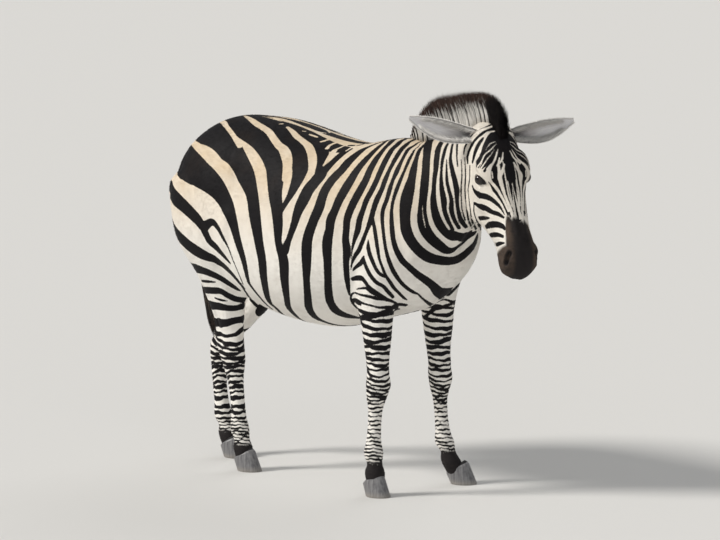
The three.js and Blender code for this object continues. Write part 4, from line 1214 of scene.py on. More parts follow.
toneSpec = {  # places along the head from the poll, heights above the ground, and shares
    "muzzleStart": 351, "muzzleSides": 432, "muzzleEdge": 9, "foreFeet": 125, "hindFeet": 100,
    "feetEdge": 7, "cheekBrown": (385, 62), "cheekBrownSide": (43, 12), "lipBrown": 0.62,
    "buffFrom": 760, "buffTo": 1180, "neckBuff": 0.65, "eyeLong": 35, "eyeHigh": 15,
}


# Share of buff, of dark muzzle, feet and eye rims (the eye rims widened by painted shade), and of brown
# at each point
def tones(points):
    place = headPlace(points)
    distance, left, out = place.T
    wide = np.abs(left)
    onHead = (distance > 40) & (wide < 130) & (out > -270) & (points[:, 0] > 800)
    onNeck = blendStep(480, 700, points[:, 0])
    buff = (blendStep(toneSpec["buffFrom"], toneSpec["buffTo"], points[:, 2])
            * (1 - toneSpec["neckBuff"] * onNeck))
    start = toneSpec["muzzleStart"] + 0.45 * left + 4 * np.sin(left / 5) + 3 * np.sin(left / 2.1 + 1)
    aside = np.maximum(blendStep(36, 56, wide), 1 - blendStep(-95, -45, out))
    start += (toneSpec["muzzleSides"] - start) * aside
    muzzle = blendStep(-toneSpec["muzzleEdge"], toneSpec["muzzleEdge"], distance - start) * onHead
    (along, reach), (across, width) = toneSpec["cheekBrown"], toneSpec["cheekBrownSide"]
    brown = np.exp(-(((distance - along) / reach) ** 2) - ((wide - across) / width) ** 2) * onHead
    lips = blendStep(26, 44, wide) * blendStep(400, 440, distance)
    lips = lips * (toneSpec["lipBrown"] - 0.2 * blendStep(480, 520, distance))
    brown = np.maximum(brown, lips * onHead)
    # Brown is taken out in and round each nostril, which leaves it near black: painted shade in the
    # nostril's hollow, over its dark skin
    for each in mirroredLine(nostrilSpec["line"]):
        brown *= blendStep(7, 15, farFrom(place, each))
    feet = np.where(points[:, 0] > 0, toneSpec["foreFeet"], toneSpec["hindFeet"])
    feet = 1 - blendStep(-toneSpec["feetEdge"], toneSpec["feetEdge"], points[:, 2] - feet)
    # A dark oval round each eye: the dark skin of the lids, with painted shade under the brow and
    # lashes round it
    eyes = np.zeros(len(points))
    for side in (1, -1):
        centre, (slit, over, outward) = eyeCentre(side), eyeAxes(side)
        away = points - centre
        near = (away @ outward > -20) & (np.linalg.norm(away, axis=1) < 45)
        oval = np.hypot((away @ slit - 1) / toneSpec["eyeLong"],
                        (away @ over + 0.5) / toneSpec["eyeHigh"])
        eyes = np.maximum(eyes, near * (1 - blendStep(0.86, 1.04, oval)))
    return np.stack([buff, np.maximum(np.maximum(muzzle, feet), eyes), brown], 1)


hide = {  # colours, and how soft and how ragged a stripe's edge is, in millimetres
    "white": (0.87, 0.835, 0.775), "pale": (0.95, 0.92, 0.86), "buff": (0.69, 0.55, 0.38),
    "dust": (0.45, 0.37, 0.28), "black": (0.007, 0.006, 0.007), "darkBrown": (0.026, 0.016, 0.011),
    "sheen": (0.035, 0.030, 0.030), "muzzle": (0.019, 0.016, 0.016),
    "muzzleBrown": (0.105, 0.073, 0.053), "edge": 0.9, "ragged": 1.5, "skinBump": 0.3, "hairBump": 0.22,
}


# The zebra's hide: white or buff ground, dark stripes where the mark is above zero
def hideMaterial(name, hairy):
    s = Shader(name)
    where = s.place()
    buffness, muzzle, brown = s.parts(s.vector("tone"))
    lie = s.vector("lie")
    fine = s.noise(where, 190, 2, 0.6)
    broad = s.noise(where, 6.5, 3)
    hairs = s.noise(lie, 1.0, 3, 0.65)
    mark = s.value("mark") + (fine - 0.5) * hide["ragged"] * 2
    dark = s.between(-hide["edge"], hide["edge"], mark)
    ground = s.mix(buffness * (broad * 1.2 + 0.3), hide["white"], hide["buff"])
    ground = s.mix(s.between(0.52, 0.8, s.noise(where, 17, 4)) * 0.22, ground, hide["dust"])
    ground = s.mix((hairs - 0.35) * 0.35, ground, hide["pale"])
    rusty = s.between(0.45, 0.8, s.noise(where, 9, 3)) * 0.4 * buffness
    coal = s.mix(rusty, hide["black"], hide["darkBrown"])
    coal = s.mix(s.between(0.58, 0.8, hairs) * 0.2, coal, hide["sheen"])
    colour = s.mix(dark, ground, coal)
    worn = brown * s.between(0.1, 0.6, s.noise(where, 60, 3)) * 0.9
    colour = s.mix(muzzle, colour, s.mix(worn, hide["muzzle"], hide["muzzleBrown"]))
    rough = 0.62 + fine * 0.16 - dark * 0.08
    bump = s.bump(hairs * 0.7 + fine * 0.3, hide["hairBump"] if hairy else hide["skinBump"], 0.0007)
    return s.finish(Base_Color=colour, Roughness=rough, Specular_IOR_Level=0.14, Normal=bump)


legTop = 690  # below this height the hide is a leg's


# The way the hair lies: back along the body, down the legs, towards the nose on the face
def flowAt(points, normals):
    place = headPlace(points)
    flow = np.tile([-1.0, 0.0, -0.45], (len(points), 1))
    onNeck = blendStep(450, 620, points[:, 0])[:, None]
    flow = flow * (1 - onNeck) + np.array([-0.75, 0.05, -0.7]) * onNeck
    down = (1 - blendStep(560, 800, points[:, 2]))[:, None]
    flow = flow * (1 - down) + np.array([-0.12, 0, -1.0]) * down
    tail = ((points[:, 0] < -640) & (np.abs(points[:, 1]) < 60))[:, None]
    flow = np.where(tail, [-0.2, 0, -1.0], flow)
    onHead = (blendStep(10, 70, place[:, 0]) * (points[:, 0] > 790) * (place[:, 2] > -262))[:, None]
    flow = flow * (1 - onHead) + faceward * onHead
    return unit(clearOf(flow, normals))


# Coordinates that run slowly along the hair and quickly across it, for the fine lines of the coat
def lieAt(points):
    along, close = 0.05, 0.42
    made = points @ fixedFrame((-1.0, 0.0, -0.42)) * [along, close, close]
    onLegs = points @ fixedFrame((-0.08, 0.0, -1.0)) * [along, close, close]
    made = np.where((points[:, 2] < legTop)[:, None], onLegs, made)
    onHead = points @ fixedFrame(faceward) * [along * 1.4, close * 1.3, close * 1.3]
    return np.where(isHeadAt(points)[:, None], onHead, made)


def fixedFrame(ahead):
    ahead = unit(np.array(ahead))
    side = unit(np.cross(ahead, (0.0, 1.0, 0.2)))
    return np.stack([ahead, side, np.cross(ahead, side)], 1)


unwrapBoxes = {  # left, low, right and high edge of each part's box on the bake map
    "body": (0.02, 0.52, 0.70, 0.98), "head": (0.74, 0.60, 0.98, 0.98),
    "front_right": (0.02, 0.02, 0.24, 0.48), "front_left": (0.27, 0.02, 0.49, 0.48),
    "hind_right": (0.52, 0.02, 0.72, 0.48), "hind_left": (0.76, 0.02, 0.98, 0.48),
}


# Place on an unwrap of the skin's own shape: along and round the body with the neck, the head or a leg
def unwrapAt(points):
    place = headPlace(points)
    x, y, z = points.T
    made = boxed("body", (x + 720) / 1620, y, z - 930)
    onHead = boxed("head", place[:, 0] / 560, place[:, 1], place[:, 2] + 90)
    made = np.where(((x > 790) & (place[:, 0] > 20))[:, None], onHead, made)
    for name in legNames:
        front, side = legSigns[name]
        _, middleX, middleY = rowAt(legLines[name], z).T
        isLeg = (z < legTop) & (x * front > 0) & (y * side > 12) & (np.abs(x - middleX) < 130)
        onLeg = boxed(name, z / 700, y - middleY, x - middleX)
        made = np.where(isLeg[:, None], onLeg, made)
    return made


def boxed(name, along, aside, above):
    low, high = np.array(unwrapBoxes[name]).reshape(2, 2)
    turn = np.arctan2(aside, above) / (2 * math.pi) + 0.5
    return low + (high - low) * np.clip(np.stack([along, turn], 1), 0, 1)


# Locks are thin closed blades of three sides, joined into one mesh from arrays. Each follows its own
# row of points in paths; perLock and perStop are values kept for each lock, or for each of its points.
def lockMesh(name, paths, lifts, widths, shape, perLock, perStop, flat=0.35, soft=0.0):
    count, stops = paths.shape[:2]
    levels = stops - 1
    ways = unit(np.gradient(paths, axis=1))
    sides = unit(np.cross(ways, lifts[:, None]))
    ups = np.cross(sides, ways)
    wide = widths[:, None] * np.asarray(shape)[None, :levels]
    rings = np.stack([paths[:, :levels] + sides[:, :levels] * (across * wide)[..., None]
                      + ups[:, :levels] * (high * wide * flat)[..., None]
                      for across, high in ((-1, 0), (1, 0), (0, 1))], axis=2)
    per = levels * 3 + 1
    points = np.concatenate([rings.reshape(count, -1, 3), paths[:, -1:]], axis=1)
    triangles = [[0, 1, 2]]
    for level in range(levels - 1):
        for c in range(3):
            a, b = level * 3 + c, level * 3 + (c + 1) % 3
            triangles += [[a, b + 3, b], [a, a + 3, b + 3]]
    triangles += [[per - 4 + (c + 1) % 3, per - 4 + c, per - 1] for c in range(3)]
    faces = (np.array(triangles)[None] + np.arange(count)[:, None, None] * per).reshape(-1, 3)
    mesh = arrayMesh(name, points.reshape(-1, 3), faces)
    ringOf = np.append(np.repeat(np.arange(levels), 3), levels)
    for key, values in perLock.items():
        addAttribute(mesh, key, np.repeat(values, per, axis=0))
    for key, values in perStop.items():
        addAttribute(mesh, key, values[:, ringOf].ravel())
    addPatches(mesh, paths[:, 0], faces, per)
    if soft:
        out = np.repeat(lifts, per, axis=0) * soft + pointsOf(mesh, "normal") * (1 - soft)
        mesh.normals_split_custom_set_from_vertices(unit(out).astype(np.float32))
    return mesh


# The bake map: each lock is a small patch at its root's place on the unwrap of the skin
def addPatches(mesh, roots, faces, per):
    patch, number = 0.003, np.arange(per)
    local = np.stack([number % 3 / 2, number // 3 / max((per - 1) // 3, 1)], 1) - 0.5
    uv = unwrapAt(roots)[faces // per] + local[faces % per] * patch
    layer = mesh.uv_layers.new(name="OFBake")
    layer.data.foreach_set("uv", np.clip(uv, 0, 1).astype(np.float32).ravel())


def placeLocks(name, mesh, material, slot, *nodes):
    made = placeObject(name, mesh, material)
    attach(made, "root")
    if nodes:
        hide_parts(*nodes)
    print(name, len(mesh.polygons), "triangles")


# Random places on the skin, by area times a density
def scatter(mesh, points, count, density):
    mesh.calc_loop_triangles()
    corners = np.empty(len(mesh.loop_triangles) * 3, np.int32)
    mesh.loop_triangles.foreach_get("vertices", corners)
    corners = corners.reshape(-1, 3)
    a, b, c = (points[corners[:, k]] for k in range(3))
    area = np.linalg.norm(np.cross(b - a, c - a), axis=1) * density[corners].mean(1)
    chosen = np.searchsorted(np.cumsum(area) / area.sum(), random.random(count))
    r, q = np.sqrt(random.random(count)), random.random(count)
    weights = np.stack([1 - r, r * (1 - q), r * q], 1)
    return corners[chosen], weights


def sampled(values, corners, weights):
    if values.ndim == 1:
        return (values[corners] * weights).sum(1)
    return (values[corners] * weights[..., None]).sum(1)


coatSpec = {  # lengths in millimetres, and how many tufts each piece of the short coat has
    "length": 14.0, "faceLength": 6.0, "legLength": 9.0, "halfWidth": 0.85, "lift": 0.045,
    "sunk": 0.5, "soft": 0.85, "stray": 0.14, "thinning": 0.6,
    "pieces": {
        "coatRight": 19500, "coatLeft": 19500, "coatNeck": 19000, "coatHead": 16000, "coatLegs": 19000,
    },
}


def coatZones(points):
    isHead, isLeg = isHeadAt(points), points[:, 2] < legTop
    isNeck = ~isHead & ~isLeg & (points[:, 0] + 0.6 * (points[:, 2] - 930) > 560)
    isSide, isRight = ~isHead & ~isLeg & ~isNeck, points[:, 1] < 0
    return {"coatRight": isSide & isRight, "coatLeft": isSide & ~isRight, "coatNeck": isNeck,
            "coatHead": isHead, "coatLegs": isLeg}


# Clear of the sloping top edge of each hoof
def aboveHoof(points):
    free = points[:, 2] > 88
    for name in legNames:
        (x, y), turn = hoofStance[name]
        a = math.radians(turn)
        ahead = (points[:, 0] - x) * math.cos(a) + (points[:, 1] - y) * math.sin(a) - hoofSpec["lean"]
        slope = (hoofSpec["height"] - hoofSpec["heel"]) * np.clip(ahead / 90 + 0.5, 0, 1)
        near = np.hypot(points[:, 0] - x, points[:, 1] - y) < 80
        free |= near & (points[:, 2] > hoofSpec["heel"] + slope + 3)
    return free


# Thin tufts lying along the body, shortest on the face and the feet
def addCoat(mesh, points, normals, marks, depth, tone, material):
    place = headPlace(points)
    bare = blendStep(425, 455, place[:, 0]) * (points[:, 0] > 800)
    for side in (1, -1):
        bare = np.maximum(bare, np.linalg.norm(points - eyeCentre(side), axis=1) < 26)
    face = blendStep(20, 200, place[:, 0]) * (points[:, 0] > 780)
    low = 1 - blendStep(300, 700, points[:, 2])
    length = coatSpec["length"] * (1 - face) + coatSpec["faceLength"] * face
    length = length * (1 - low) + coatSpec["legLength"] * low
    shares = np.array([0, 0.5, 1])
    rise = np.array([-coatSpec["sunk"], 0.45, 0.4])
    for name, chosen in coatZones(points).items():
        closer = (coatSpec["length"] / length) ** coatSpec["thinning"]
        density = chosen * (1 - bare) * closer * aboveHoof(points)
        corners, weights = scatter(mesh, points, coatSpec["pieces"][name], density)
        roots, ups = sampled(points, corners, weights), unit(sampled(normals, corners, weights))
        size = sampled(length, corners, weights) * random.uniform(0.7, 1.25, len(roots))
        ways = flowAt(roots, ups)
        aside = random.normal(0, coatSpec["stray"], len(roots))
        ways = unit(ways + np.cross(ups, ways) * aside[:, None])
        lift = coatSpec["lift"] * random.uniform(0.5, 1.3, len(roots))
        paths = (roots[:, None] + ways[:, None] * (size[:, None] * shares)[..., None]
                 + ups[:, None] * (rise + size[:, None] * lift[:, None] * shares)[..., None])
        mark = np.stack([sampled(depth, corners, weights), marks.depthAt(paths[:, 1] - ups),
                         marks.depthAt(paths[:, 2] - ups * 2)], 1)
        perLock = {"tone": sampled(tone, corners, weights), "lie": lieAt(roots)}
        widths = coatSpec["halfWidth"] * (size / coatSpec["length"]) ** coatSpec["thinning"]
        blades = lockMesh(name, paths, ups, widths, (0.8, 1.0), perLock, {"mark": mark}, 0.3,
                          coatSpec["soft"])
        placeLocks(name, blades, material, "coat")


maneSpec = {
    "strands": 16000, "halfWidth": 1.3, "spreadOut": 0.16, "leanBack": 0.2, "stray": 0.035,
    "stops": 4, "shortest": 14, "rootSunk": 4, "forelockFrom": 0.875, "forelockTo": 0.915,
    "brown": (0.066, 0.034, 0.024), "black": (0.008, 0.006, 0.006),
    "white": (0.84, 0.82, 0.78), "shade": (0.54, 0.50, 0.46),
    "bands": [  # dark bands: share along the crest, half-width in millimetres
        (0.015, 4), (0.05, 5), (0.085, 4), (0.125, 4), (0.18, 3.6), (0.225, 3), (0.29, 2.4),
        (0.355, 2.6), (0.40, 2.6), (0.455, 2), (0.485, 1.6), (0.54, 2.4), (0.60, 2), (0.66, 2.4),
        (0.745, 3.2), (0.80, 2.6), (0.845, 3.2), (0.90, 7),
    ],
}


def maneMaterial():
    s = Shader("maneHair")
    where = s.place()
    share = s.value("share")
    fine = s.noise(where, 230, 2)
    dark = s.between(-1.0, 1.0, s.value("mark"))
    strand = s.value("strand")
    pale = s.mix(strand * 0.5, maneSpec["white"], maneSpec["shade"])
    hair = s.mix(dark, pale, maneSpec["black"])
    ragged = (s.noise(where, 38, 2) - 0.5) * 0.3 + (strand - 0.5) * 0.16
    tips = s.between(0.60, 0.82, share + ragged)
    brown = s.mix(strand * 0.8 + fine * 0.3, maneSpec["brown"], maneSpec["black"])
    hair = s.mix(tips, hair, brown)
    hair = s.mix(s.value("front"), hair, maneSpec["black"])
    return s.finish(Base_Color=hair, Roughness=0.6 + fine * 0.2, Specular_IOR_Level=0.12)


def addMane(marks, material):
    count = maneSpec["strands"]
    share = random.random(count) ** 0.9 * 0.995 + 0.003
    _, x, y, base, tips, half = rowAt(maneForm, share).T
    crest = np.gradient(rowAt(maneForm, np.linspace(0, 1, 200))[:, 1:3], axis=0)
    crestLength = np.linalg.norm(crest, axis=1).sum()
    way = unit(crest)[np.clip((share * 199).astype(int), 0, 199)]
    across = np.stack([-way[:, 1], way[:, 0], 0 * share], 1)
    side = np.clip(random.normal(0, 0.5, count), -1, 1)
    edge = np.sqrt(np.maximum(rounding(share, 0.06) * rounding(1 - share, 0.1), 0.15))
    above = np.stack([x, y, 0 * x + 1600], 1) + across * (side * half * 0.75)[:, None]
    found = [marks.tree.ray_cast(Vector(p), Vector((0, 0, -1))) for p in above]
    roots = np.array([hit[0] if hit[0] is not None else (*spot[:2], low)
                      for hit, spot, low in zip(found, above, base)])
    height = (tips - roots[:, 2]) * edge * (1 - 0.1 * side**2)
    height = height * (1 - 0.22 * random.random(count) ** 1.6)
    height = np.maximum(height, maneSpec["shortest"])
    centres, halves = np.array(maneSpec["bands"]).T
    depth = (halves - np.abs(share[:, None] - centres) * crestLength).max(1)
    depth = depth + random.normal(0, 0.8, count)
    forward = np.stack([way[:, 0], way[:, 1], 0 * share], 1)
    lean = (across * (side * maneSpec["spreadOut"])[:, None]
            + forward * (-maneSpec["leanBack"] + 0.22 * blendStep(0.9, 1, share))[:, None]
            + random.normal(0, maneSpec["stray"], (count, 3)))
    steps = np.linspace(0, 1, maneSpec["stops"])
    paths = roots[:, None] + (up * height[:, None])[:, None] * steps[:, None]
    paths = paths + (lean * height[:, None])[:, None] * (steps**1.5)[:, None]
    paths[:, 0] -= up * maneSpec["rootSunk"]
    ups = unit(across * np.where(side > 0, 1, -1)[:, None] + forward * 0.2)
    front = blendStep(maneSpec["forelockFrom"], maneSpec["forelockTo"],
                      share + random.normal(0, 0.008, count))
    perLock = {"mark": depth, "front": front, "strand": random.random(count)}
    for name, chosen in (("maneRight", side < 0), ("maneLeft", side >= 0)):
        part = {key: values[chosen] for key, values in perLock.items()}
        along = {"share": np.repeat(steps[None], chosen.sum(), axis=0)}
        widths = np.full(chosen.sum(), maneSpec["halfWidth"])
        blades = lockMesh(name, paths[chosen], ups[chosen], widths, (1.0, 1.0, 0.7), part, along, 0.5)
        placeLocks(name, blades, material, "mane", "mane")


tailSpec = {
    "strands": 4200, "halfWidth": 1.3, "stops": 6, "fromDock": 0.52, "wave": 1.8, "paleShare": 0.28,
    "black": (0.016, 0.012, 0.011), "brown": (0.07, 0.042, 0.028), "white": (0.62, 0.55, 0.46),
}


def tailMaterial():
    s = Shader("tailHair")
    fine = s.noise(s.place(), 60, 3)
    hair = s.mix(s.between(0.4, 0.75, fine), tailSpec["black"], tailSpec["brown"])
    hair = s.mix(s.value("pale") * (1 - s.value("share")), hair, tailSpec["white"])
    return s.finish(Base_Color=hair, Roughness=0.5, Specular_IOR_Level=0.35)


def addTail(material):
    count, stops = tailSpec["strands"], tailSpec["stops"]
    line = np.vstack([rowAt(dockForm, np.linspace(tailSpec["fromDock"], 1, 20)),
                      rowAt(tuftForm, np.linspace(0.04, 1, 30))])[:, 1:5]
    pieces = np.linalg.norm(np.diff(line[:, :3], axis=0), axis=1)
    length = np.concatenate([[0], np.cumsum(pieces)])
    start = random.random(count) ** 0.8 * 0.42
    end = np.clip(start + random.uniform(0.36, 0.75, count), 0, random.uniform(0.86, 1.0, count))
    angle, inside = random.random(count) * 2 * math.pi, np.sqrt(random.random(count))
    steps = np.linspace(0, 1, stops)
    at = (start[:, None] + (end - start)[:, None] * steps) * length[-1]
    place = np.stack([np.interp(at, length, line[:, k]) for k in range(4)], -1)
    outward = np.stack([np.cos(angle), np.sin(angle), 0 * angle], 1)
    fullness = np.where(steps < 0.05, 1.0, 0.5 + 0.5 * inside[:, None])
    fullness = np.maximum(place[..., 3] - 2, 4) * fullness
    fullness = fullness * (1 - 0.25 * steps * random.random(count)[:, None])
    paths = place[..., :3] + outward[:, None] * fullness[..., None]
    wave = np.sin(at / 34 + angle[:, None])
    paths[..., :2] += tailSpec["wave"] * wave[..., None] * steps[:, None]
    pale = (random.random(count) < tailSpec["paleShare"]) * (start < 0.3) * 1.0
    widths = np.full(count, tailSpec["halfWidth"])
    mesh = lockMesh("tailHair", paths, outward, widths, np.linspace(1, 0.5, stops - 1),
                    {"pale": pale}, {"share": np.repeat(steps[None], count, axis=0)}, 0.5)
    placeLocks("tailHair", mesh, material, "tail_hair", "tail_tuft")


earSpec = {
    "right": {"root": (22, -56, -34), "tip": (618, -271, 1368), "open": (0.67, -0.74, 0.06)},
    "left": {"root": (22, 56, -34), "tip": (957, 211, 1347), "open": (0.86, -0.5, 0.06)},
    "form": [  # share, half-width, depth of the hollow's back, thickness
        (0, 22, 20, 16), (0.15, 29, 27, 9), (0.35, 36, 25, 6), (0.55, 37, 20, 5), (0.75, 28, 13, 5),
        (0.9, 14, 6, 4), (1, 3, 2, 3),
    ],
    "sag": 13, "inset": 1.4, "along": 70, "across": 26,
    "hairs": 1500, "fringe": 1600, "hairHalfWidth": 0.55,
    "white": (0.87, 0.85, 0.83), "grey": (0.56, 0.54, 0.55), "black": (0.02, 0.018, 0.020),
    "skin": (0.20, 0.16, 0.14), "hairShade": (0.72, 0.69, 0.66), "hairLight": (0.9, 0.88, 0.84),
}


# The ear's root, its line to the tip, and its directions
def earFrame(side):
    stance = earSpec[side]
    root = inHead(*stance["root"])
    line = np.array(stance["tip"], float) - root
    direction = unit(line)
    facing = unit(clearOf(np.array(stance["open"], float), direction))
    return root, line, direction, facing, np.cross(direction, facing)


# A place on the ear: share of its length, across from -1 to 1, and how far behind the rim's plane
def onEar(side, share, across, back):
    root, line, _, facing, wide = earFrame(side)
    half = rowAt(earSpec["form"], share)[:, 1] - earSpec["inset"] * blendStep(0, 0.2, 1 - share)
    sag = earSpec["sag"] * np.sin(math.pi * share)
    middle = root + line * share[:, None] - up * sag[:, None]
    aside = half * np.sin(across * math.pi / 2)
    return middle + wide * aside[:, None] - facing * back[:, None]


def earMaterial():
    s = Shader("earSkin")
    share, across, inside = s.parts(s.vector("ear"))
    where = s.place()
    streaks = s.noise(s.stretched(s.vector("ear"), (3, 26, 1)), 2.2, 3)
    ragged = share + (s.noise(where, 70, 2) - 0.5) * 0.08
    outer = earSpec["white"]
    for low, high in (((0.50, 0.56), (0.80, 0.85)), ((0.20, 0.24), (0.33, 0.37))):  # bands on the back
        band = s.between(*low, ragged) * (1 - s.between(*high, ragged))
        outer = s.mix(band, outer, earSpec["black"])
    hollow = s.mix(s.between(0.3, 0.75, streaks), earSpec["grey"], earSpec["white"])
    hollow = s.mix((1 - s.between(0.34, 0.6, ragged)) * 0.35, hollow, earSpec["skin"])
    # Near black deep in the base of the hollow: painted shade there, with the darker hair at the ear's
    # root
    hollow = s.mix((1 - s.between(0.12, 0.42, ragged)) * 0.9, hollow, earSpec["black"])
    # A dark line just inside each rim: a painted shadow line between the rim and the hollow
    rim = s.between(0.80, 0.86, across * across) * (1 - s.between(0.90, 0.95, across * across))
    hollow = s.mix(rim * 0.8, hollow, earSpec["black"])
    colour = s.mix(inside, outer, hollow)
    return s.finish(Base_Color=colour, Roughness=0.75, Sheen_Weight=0.15,
                    Normal=s.bump(streaks, 0.4, 0.001))


def addEar(side, material, hairMaterial):
    shares = np.linspace(0, 1, earSpec["along"])
    t = np.linspace(-1, 1, earSpec["across"])
    share, across = (g.ravel() for g in np.meshgrid(shares, t, indexing="ij"))
    _, _, depth, thick = rowAt(earSpec["form"], share).T
    thick = thick - earSpec["inset"]
    outer = onEar(side, share, across, depth * (1 - across**2) - earSpec["inset"] * 0.5)
    hollow = depth * (1 - across**2) - thick * (1 - 0.4 * across**2) - 1
    inner = onEar(side, share, across * 0.94, hollow)
    shape = (earSpec["along"], earSpec["across"], 3)
    rings = np.concatenate([outer.reshape(shape), inner.reshape(shape)[:, ::-1]], axis=1)
    points, faces = tube(rings)
    name = "ear" + side.capitalize()
    ear = makeObject(name, points, faces, material)
    inside = np.zeros((len(shares), 2 * len(t)))
    inside[:, len(t):] = 1
    place = np.zeros((len(points), 3))
    place[:-2, 0] = np.repeat(shares, 2 * len(t))
    place[:-2, 1] = np.tile(np.concatenate([t, t[::-1]]), len(shares))
    place[:-2, 2] = inside.ravel()
    place[-2:, 0] = (0, 1)
    addAttribute(ear.data, "ear", place)
    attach(ear, "root")
    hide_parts(f"ear_{side}")
    addEarHair(side, name, hairMaterial)


# Long pale hairs that cross the hollow from its rims, and a fringe on the rims
def addEarHair(side, name, material):
    _, _, direction, facing, wide = earFrame(side)
    count = earSpec["hairs"] + earSpec["fringe"]
    isFringe = np.arange(count) >= earSpec["hairs"]
    share = np.where(isFringe, random.uniform(0.1, 0.985, count), random.uniform(0.06, 0.8, count))
    edge = np.where(random.random(count) < 0.5, -1.0, 1.0)
    across = edge * np.where(isFringe, random.uniform(0.93, 1.0, count),
                             random.uniform(0.45, 0.95, count))
    _, half, depth, thick = rowAt(earSpec["form"], share).T
    back = depth * (1 - across**2) - thick * 0.5 - np.where(isFringe, 0, 1.5)
    roots = onEar(side, share, across, back)
    size = np.where(isFringe, random.uniform(4, 9, count), random.uniform(9, 24, count))
    size = size * blendStep(0, 0.3, half / 20)
    inward = np.where(isFringe, 0.35, -0.75) * edge
    ways = unit(direction * 0.75 + wide * inward[:, None] + facing * 0.18
                + random.normal(0, 0.12, (count, 3)))
    steps = np.linspace(0, 1, 3)
    paths = roots[:, None] + (ways * size[:, None])[:, None] * steps[:, None]
    paths = paths + (direction * (size * 0.25)[:, None])[:, None] * (steps**2)[:, None]
    lifts = np.repeat(facing[None], count, axis=0)
    widths = np.full(count, earSpec["hairHalfWidth"])
    mesh = lockMesh(name + "Hair", paths, lifts, widths, (1.0, 0.8), {"share": share}, {}, 0.5)
    placeLocks(name + "Hair", mesh, material, "ear")


def earHairMaterial():
    s = Shader("earHair")
    fine = s.noise(s.place(), 120, 2)
    return s.finish(Base_Color=s.mix(fine, earSpec["hairShade"], earSpec["hairLight"]), Roughness=0.6)


def eyeMaterial():
    s = Shader("eyeball")
    across, high, _ = s.parts(s.vector("gaze"))
    reach = (across * across + high * high).root()
    oval = (across * across * 5.0 + high * high * 22.0).root()
    fibres = s.noise(s.stretched(s.vector("gaze"), (7, 7, 2)), 3.0, 4)
    iris = s.mix(fibres, eyeSpec["rim"], eyeSpec["iris"])
    colour = s.mix(s.between(0.66, 0.78, reach), iris, eyeSpec["rim"])
    colour = s.mix(1 - s.between(0.88, 1.08, oval), colour, eyeSpec["pupil"])
    return s.finish(Base_Color=colour, Roughness=0.1, Specular_IOR_Level=0.35, Coat_Weight=0.3,
                    Coat_Roughness=0.03)


def addEye(side, material):
    centre, (slit, over, outward) = eyeCentre(side), eyeAxes(side)
    angle = np.linspace(0.03, math.pi - 0.03, 44)
    radius = eyeSpec["radius"]
    away = -np.cos(angle)
    bulge = 1 + eyeSpec["bulge"] * blendStep(0.72, 1.0, away)
    centres = centre + outward * (away * radius * bulge)[:, None]
    thin = np.sin(angle) * radius
    points, faces = tube(ringRow(centres, slit, over, (thin, thin, thin, thin), 56))
    label = "left" if side > 0 else "right"
    eye = makeObject("eye" + label.capitalize(), points, faces, material)
    part = (points - centre) / radius
    addAttribute(eye.data, "gaze", np.stack([part @ slit, part @ over, part @ outward], 1))
    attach(eye, "root")
    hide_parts("eye_" + label)


hoofStance = {  # where each hoof stands, and how far its toe turns to the left in degrees
    "front_right": ((388, -173), -6), "front_left": ((448, 222), 24),
    "hind_right": ((-310, -99), 4), "hind_left": ((-550, 79), 4),
}
hoofSpec = {
    "height": 80, "heel": 40, "toe": 52, "heelReach": 46, "halfWidth": 41, "taper": 0.86, "lean": -26,
    "ridges": 9, "ridgeDepth": 0.2, "inset": 0.6, "foot": 1.6, "lip": 3.0, "cleft": 5.5,
    "crown": (0.0, 0.2, 0.5, 1.0), "crownRise": 6, "crownClose": 0.3,
    "dark": (0.115, 0.112, 0.116), "pale": (0.235, 0.230, 0.232), "dust": (0.36, 0.32, 0.27),
}


def hoofMaterial():
    s = Shader("hoofHorn")
    place = s.vector("horn")
    level = s.parts(place)[2]
    streaks = s.noise(s.stretched(place, (1, 1, 0.05)), 5, 4)
    rings = s.noise(s.stretched(place, (0.12, 0.12, 1)), 14, 2)
    colour = s.mix(s.between(0.30, 0.72, streaks), hoofSpec["dark"], hoofSpec["pale"])
    colour = s.mix((1 - s.between(0.02, 0.30, level)) * 0.4, colour, hoofSpec["dust"])
    crown = s.value("crown")
    colour = s.mix(crown, colour, hide["black"])
    return s.finish(Base_Color=colour, Roughness=0.34 + streaks * 0.2 + crown * 0.3,
                    Normal=s.bump(streaks * 0.4 + rings * 0.6, 0.3, 0.001))


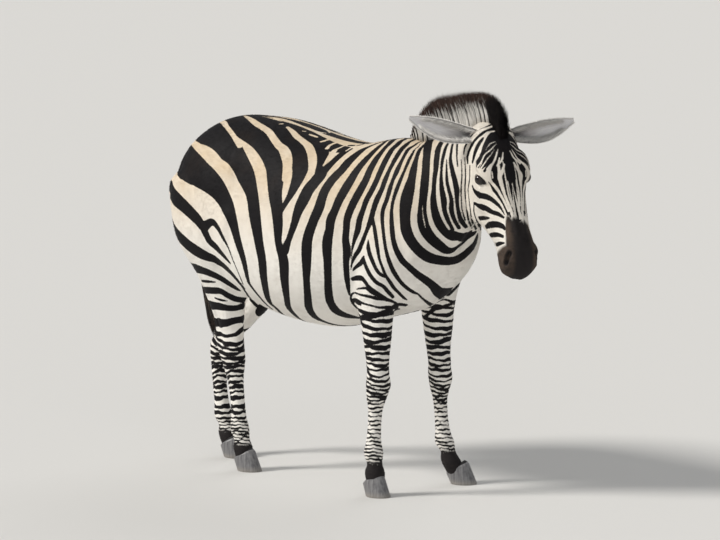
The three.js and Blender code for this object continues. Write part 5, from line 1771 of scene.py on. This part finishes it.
def addHoof(name, material):
    (x, y), turn = hoofStance[name]
    levels = np.array([0, 0.004, 0.02, 0.05] + list(np.linspace(0.09, 0.93, 30)) + [0.96, 0.985, 1.0])
    angle = np.linspace(0, 2 * math.pi, 80, endpoint=False)
    c, s = np.cos(angle), np.sin(angle)
    high, low = hoofSpec["height"], hoofSpec["heel"]
    rim = (high + low) / 2 + (high - low) / 2 * c
    rings = []
    for level in levels:
        narrow = 1 - (1 - hoofSpec["taper"]) * level
        wave = math.sin(level * hoofSpec["ridges"] * 2 * math.pi)
        ridge = -hoofSpec["inset"] + hoofSpec["ridgeDepth"] * wave
        ridge -= hoofSpec["foot"] * (1 - min(level / 0.05, 1))
        ridge -= hoofSpec["lip"] * max(level - 0.93, 0) / 0.07
        cleft = hoofSpec["cleft"] * bell(angle - math.pi, 0.2) * (1 - 0.4 * level)
        reach = np.where(c > 0, hoofSpec["toe"], hoofSpec["heelReach"]) * narrow + ridge
        rings.append(np.stack([c * (reach - cleft) + hoofSpec["lean"] * level,
                               s * (hoofSpec["halfWidth"] * narrow + ridge), rim * level], 1))
    last = rings[-1]
    middle = last.mean(0) * [1, 1, 0]
    for share in hoofSpec["crown"]:
        close = 1 - hoofSpec["crownClose"] * share
        ring = middle + (last - middle) * [close, close, 1]
        rings.append(ring + up * hoofSpec["crownRise"] * math.sin(share * math.pi / 2))
    local, faces = tube(np.array(rings))
    a = math.radians(turn)
    points = np.stack([local[:, 0] * math.cos(a) - local[:, 1] * math.sin(a) + x,
                       local[:, 0] * math.sin(a) + local[:, 1] * math.cos(a) + y, local[:, 2]], 1)
    hoof = makeObject("hoof_" + name + "_horn", points, faces, material)
    addAttribute(hoof.data, "horn", local / [40, 40, hoofSpec["height"]])
    isCrown = np.repeat(np.arange(len(rings)) >= len(levels), len(angle))
    addAttribute(hoof.data, "crown", np.concatenate([isCrown, [0, 1]]).astype(float))
    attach(hoof, "root")
    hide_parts("hoof_" + name)


addCamera()
addLights()
print("camera and lights placed")
floorShader = Shader("studioFloor")
floorMaterial = floorShader.finish(Base_Color=(*lighting["floor"], 1), Roughness=0.85)
wide = lighting["floorReach"]
corners = np.array([(-wide, -wide, 0), (wide, -wide, 0), (wide, wide, 0), (-wide, wide, 0)])
floor = makeObject("floor", corners, [[0, 1, 2, 3]], floorMaterial, False)

mesh = skinMesh()
points = pointsOf(mesh)
normals = pointsOf(mesh, "normal")
print("skin shaped:", len(points), "points")
tree = BVHTree.FromPolygons(points.tolist(), [list(p.vertices) for p in mesh.polygons])
marks = dressMarkings(tree)
depth = marks.depthAt(points)
print("markings laid:", sum(len(d) for d in marks.dots["dark"]), "dots")
tone = tones(points)
for name, values in (("mark", depth), ("tone", tone), ("lie", lieAt(points))):
    addAttribute(mesh, name, values)
skinMaterial = hideMaterial("hide", False)
coatMaterial = hideMaterial("hairCoat", True)
setPoints(mesh, toRow(points))
skin = placeObject("skin", mesh, skinMaterial)
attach(skin, "root")
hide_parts("trunk", "neck", "head", "muzzle", "tail_dock",
            *[f"leg_{name}_{part}" for name in legNames for part in ("upper", "lower")])

addCoat(mesh, points, normals, marks, depth, tone, coatMaterial)
addMane(marks, maneMaterial())
addTail(tailMaterial())
print("hair done")
earSkin, earHair = earMaterial(), earHairMaterial()
for side in ("right", "left"):
    addEar(side, earSkin, earHair)
eyeShine = eyeMaterial()
for side in (1, -1):
    addEye(side, eyeShine)
horn = hoofMaterial()
for name in legNames:
    addHoof(name, horn)
print("ears, eyes and hooves done")
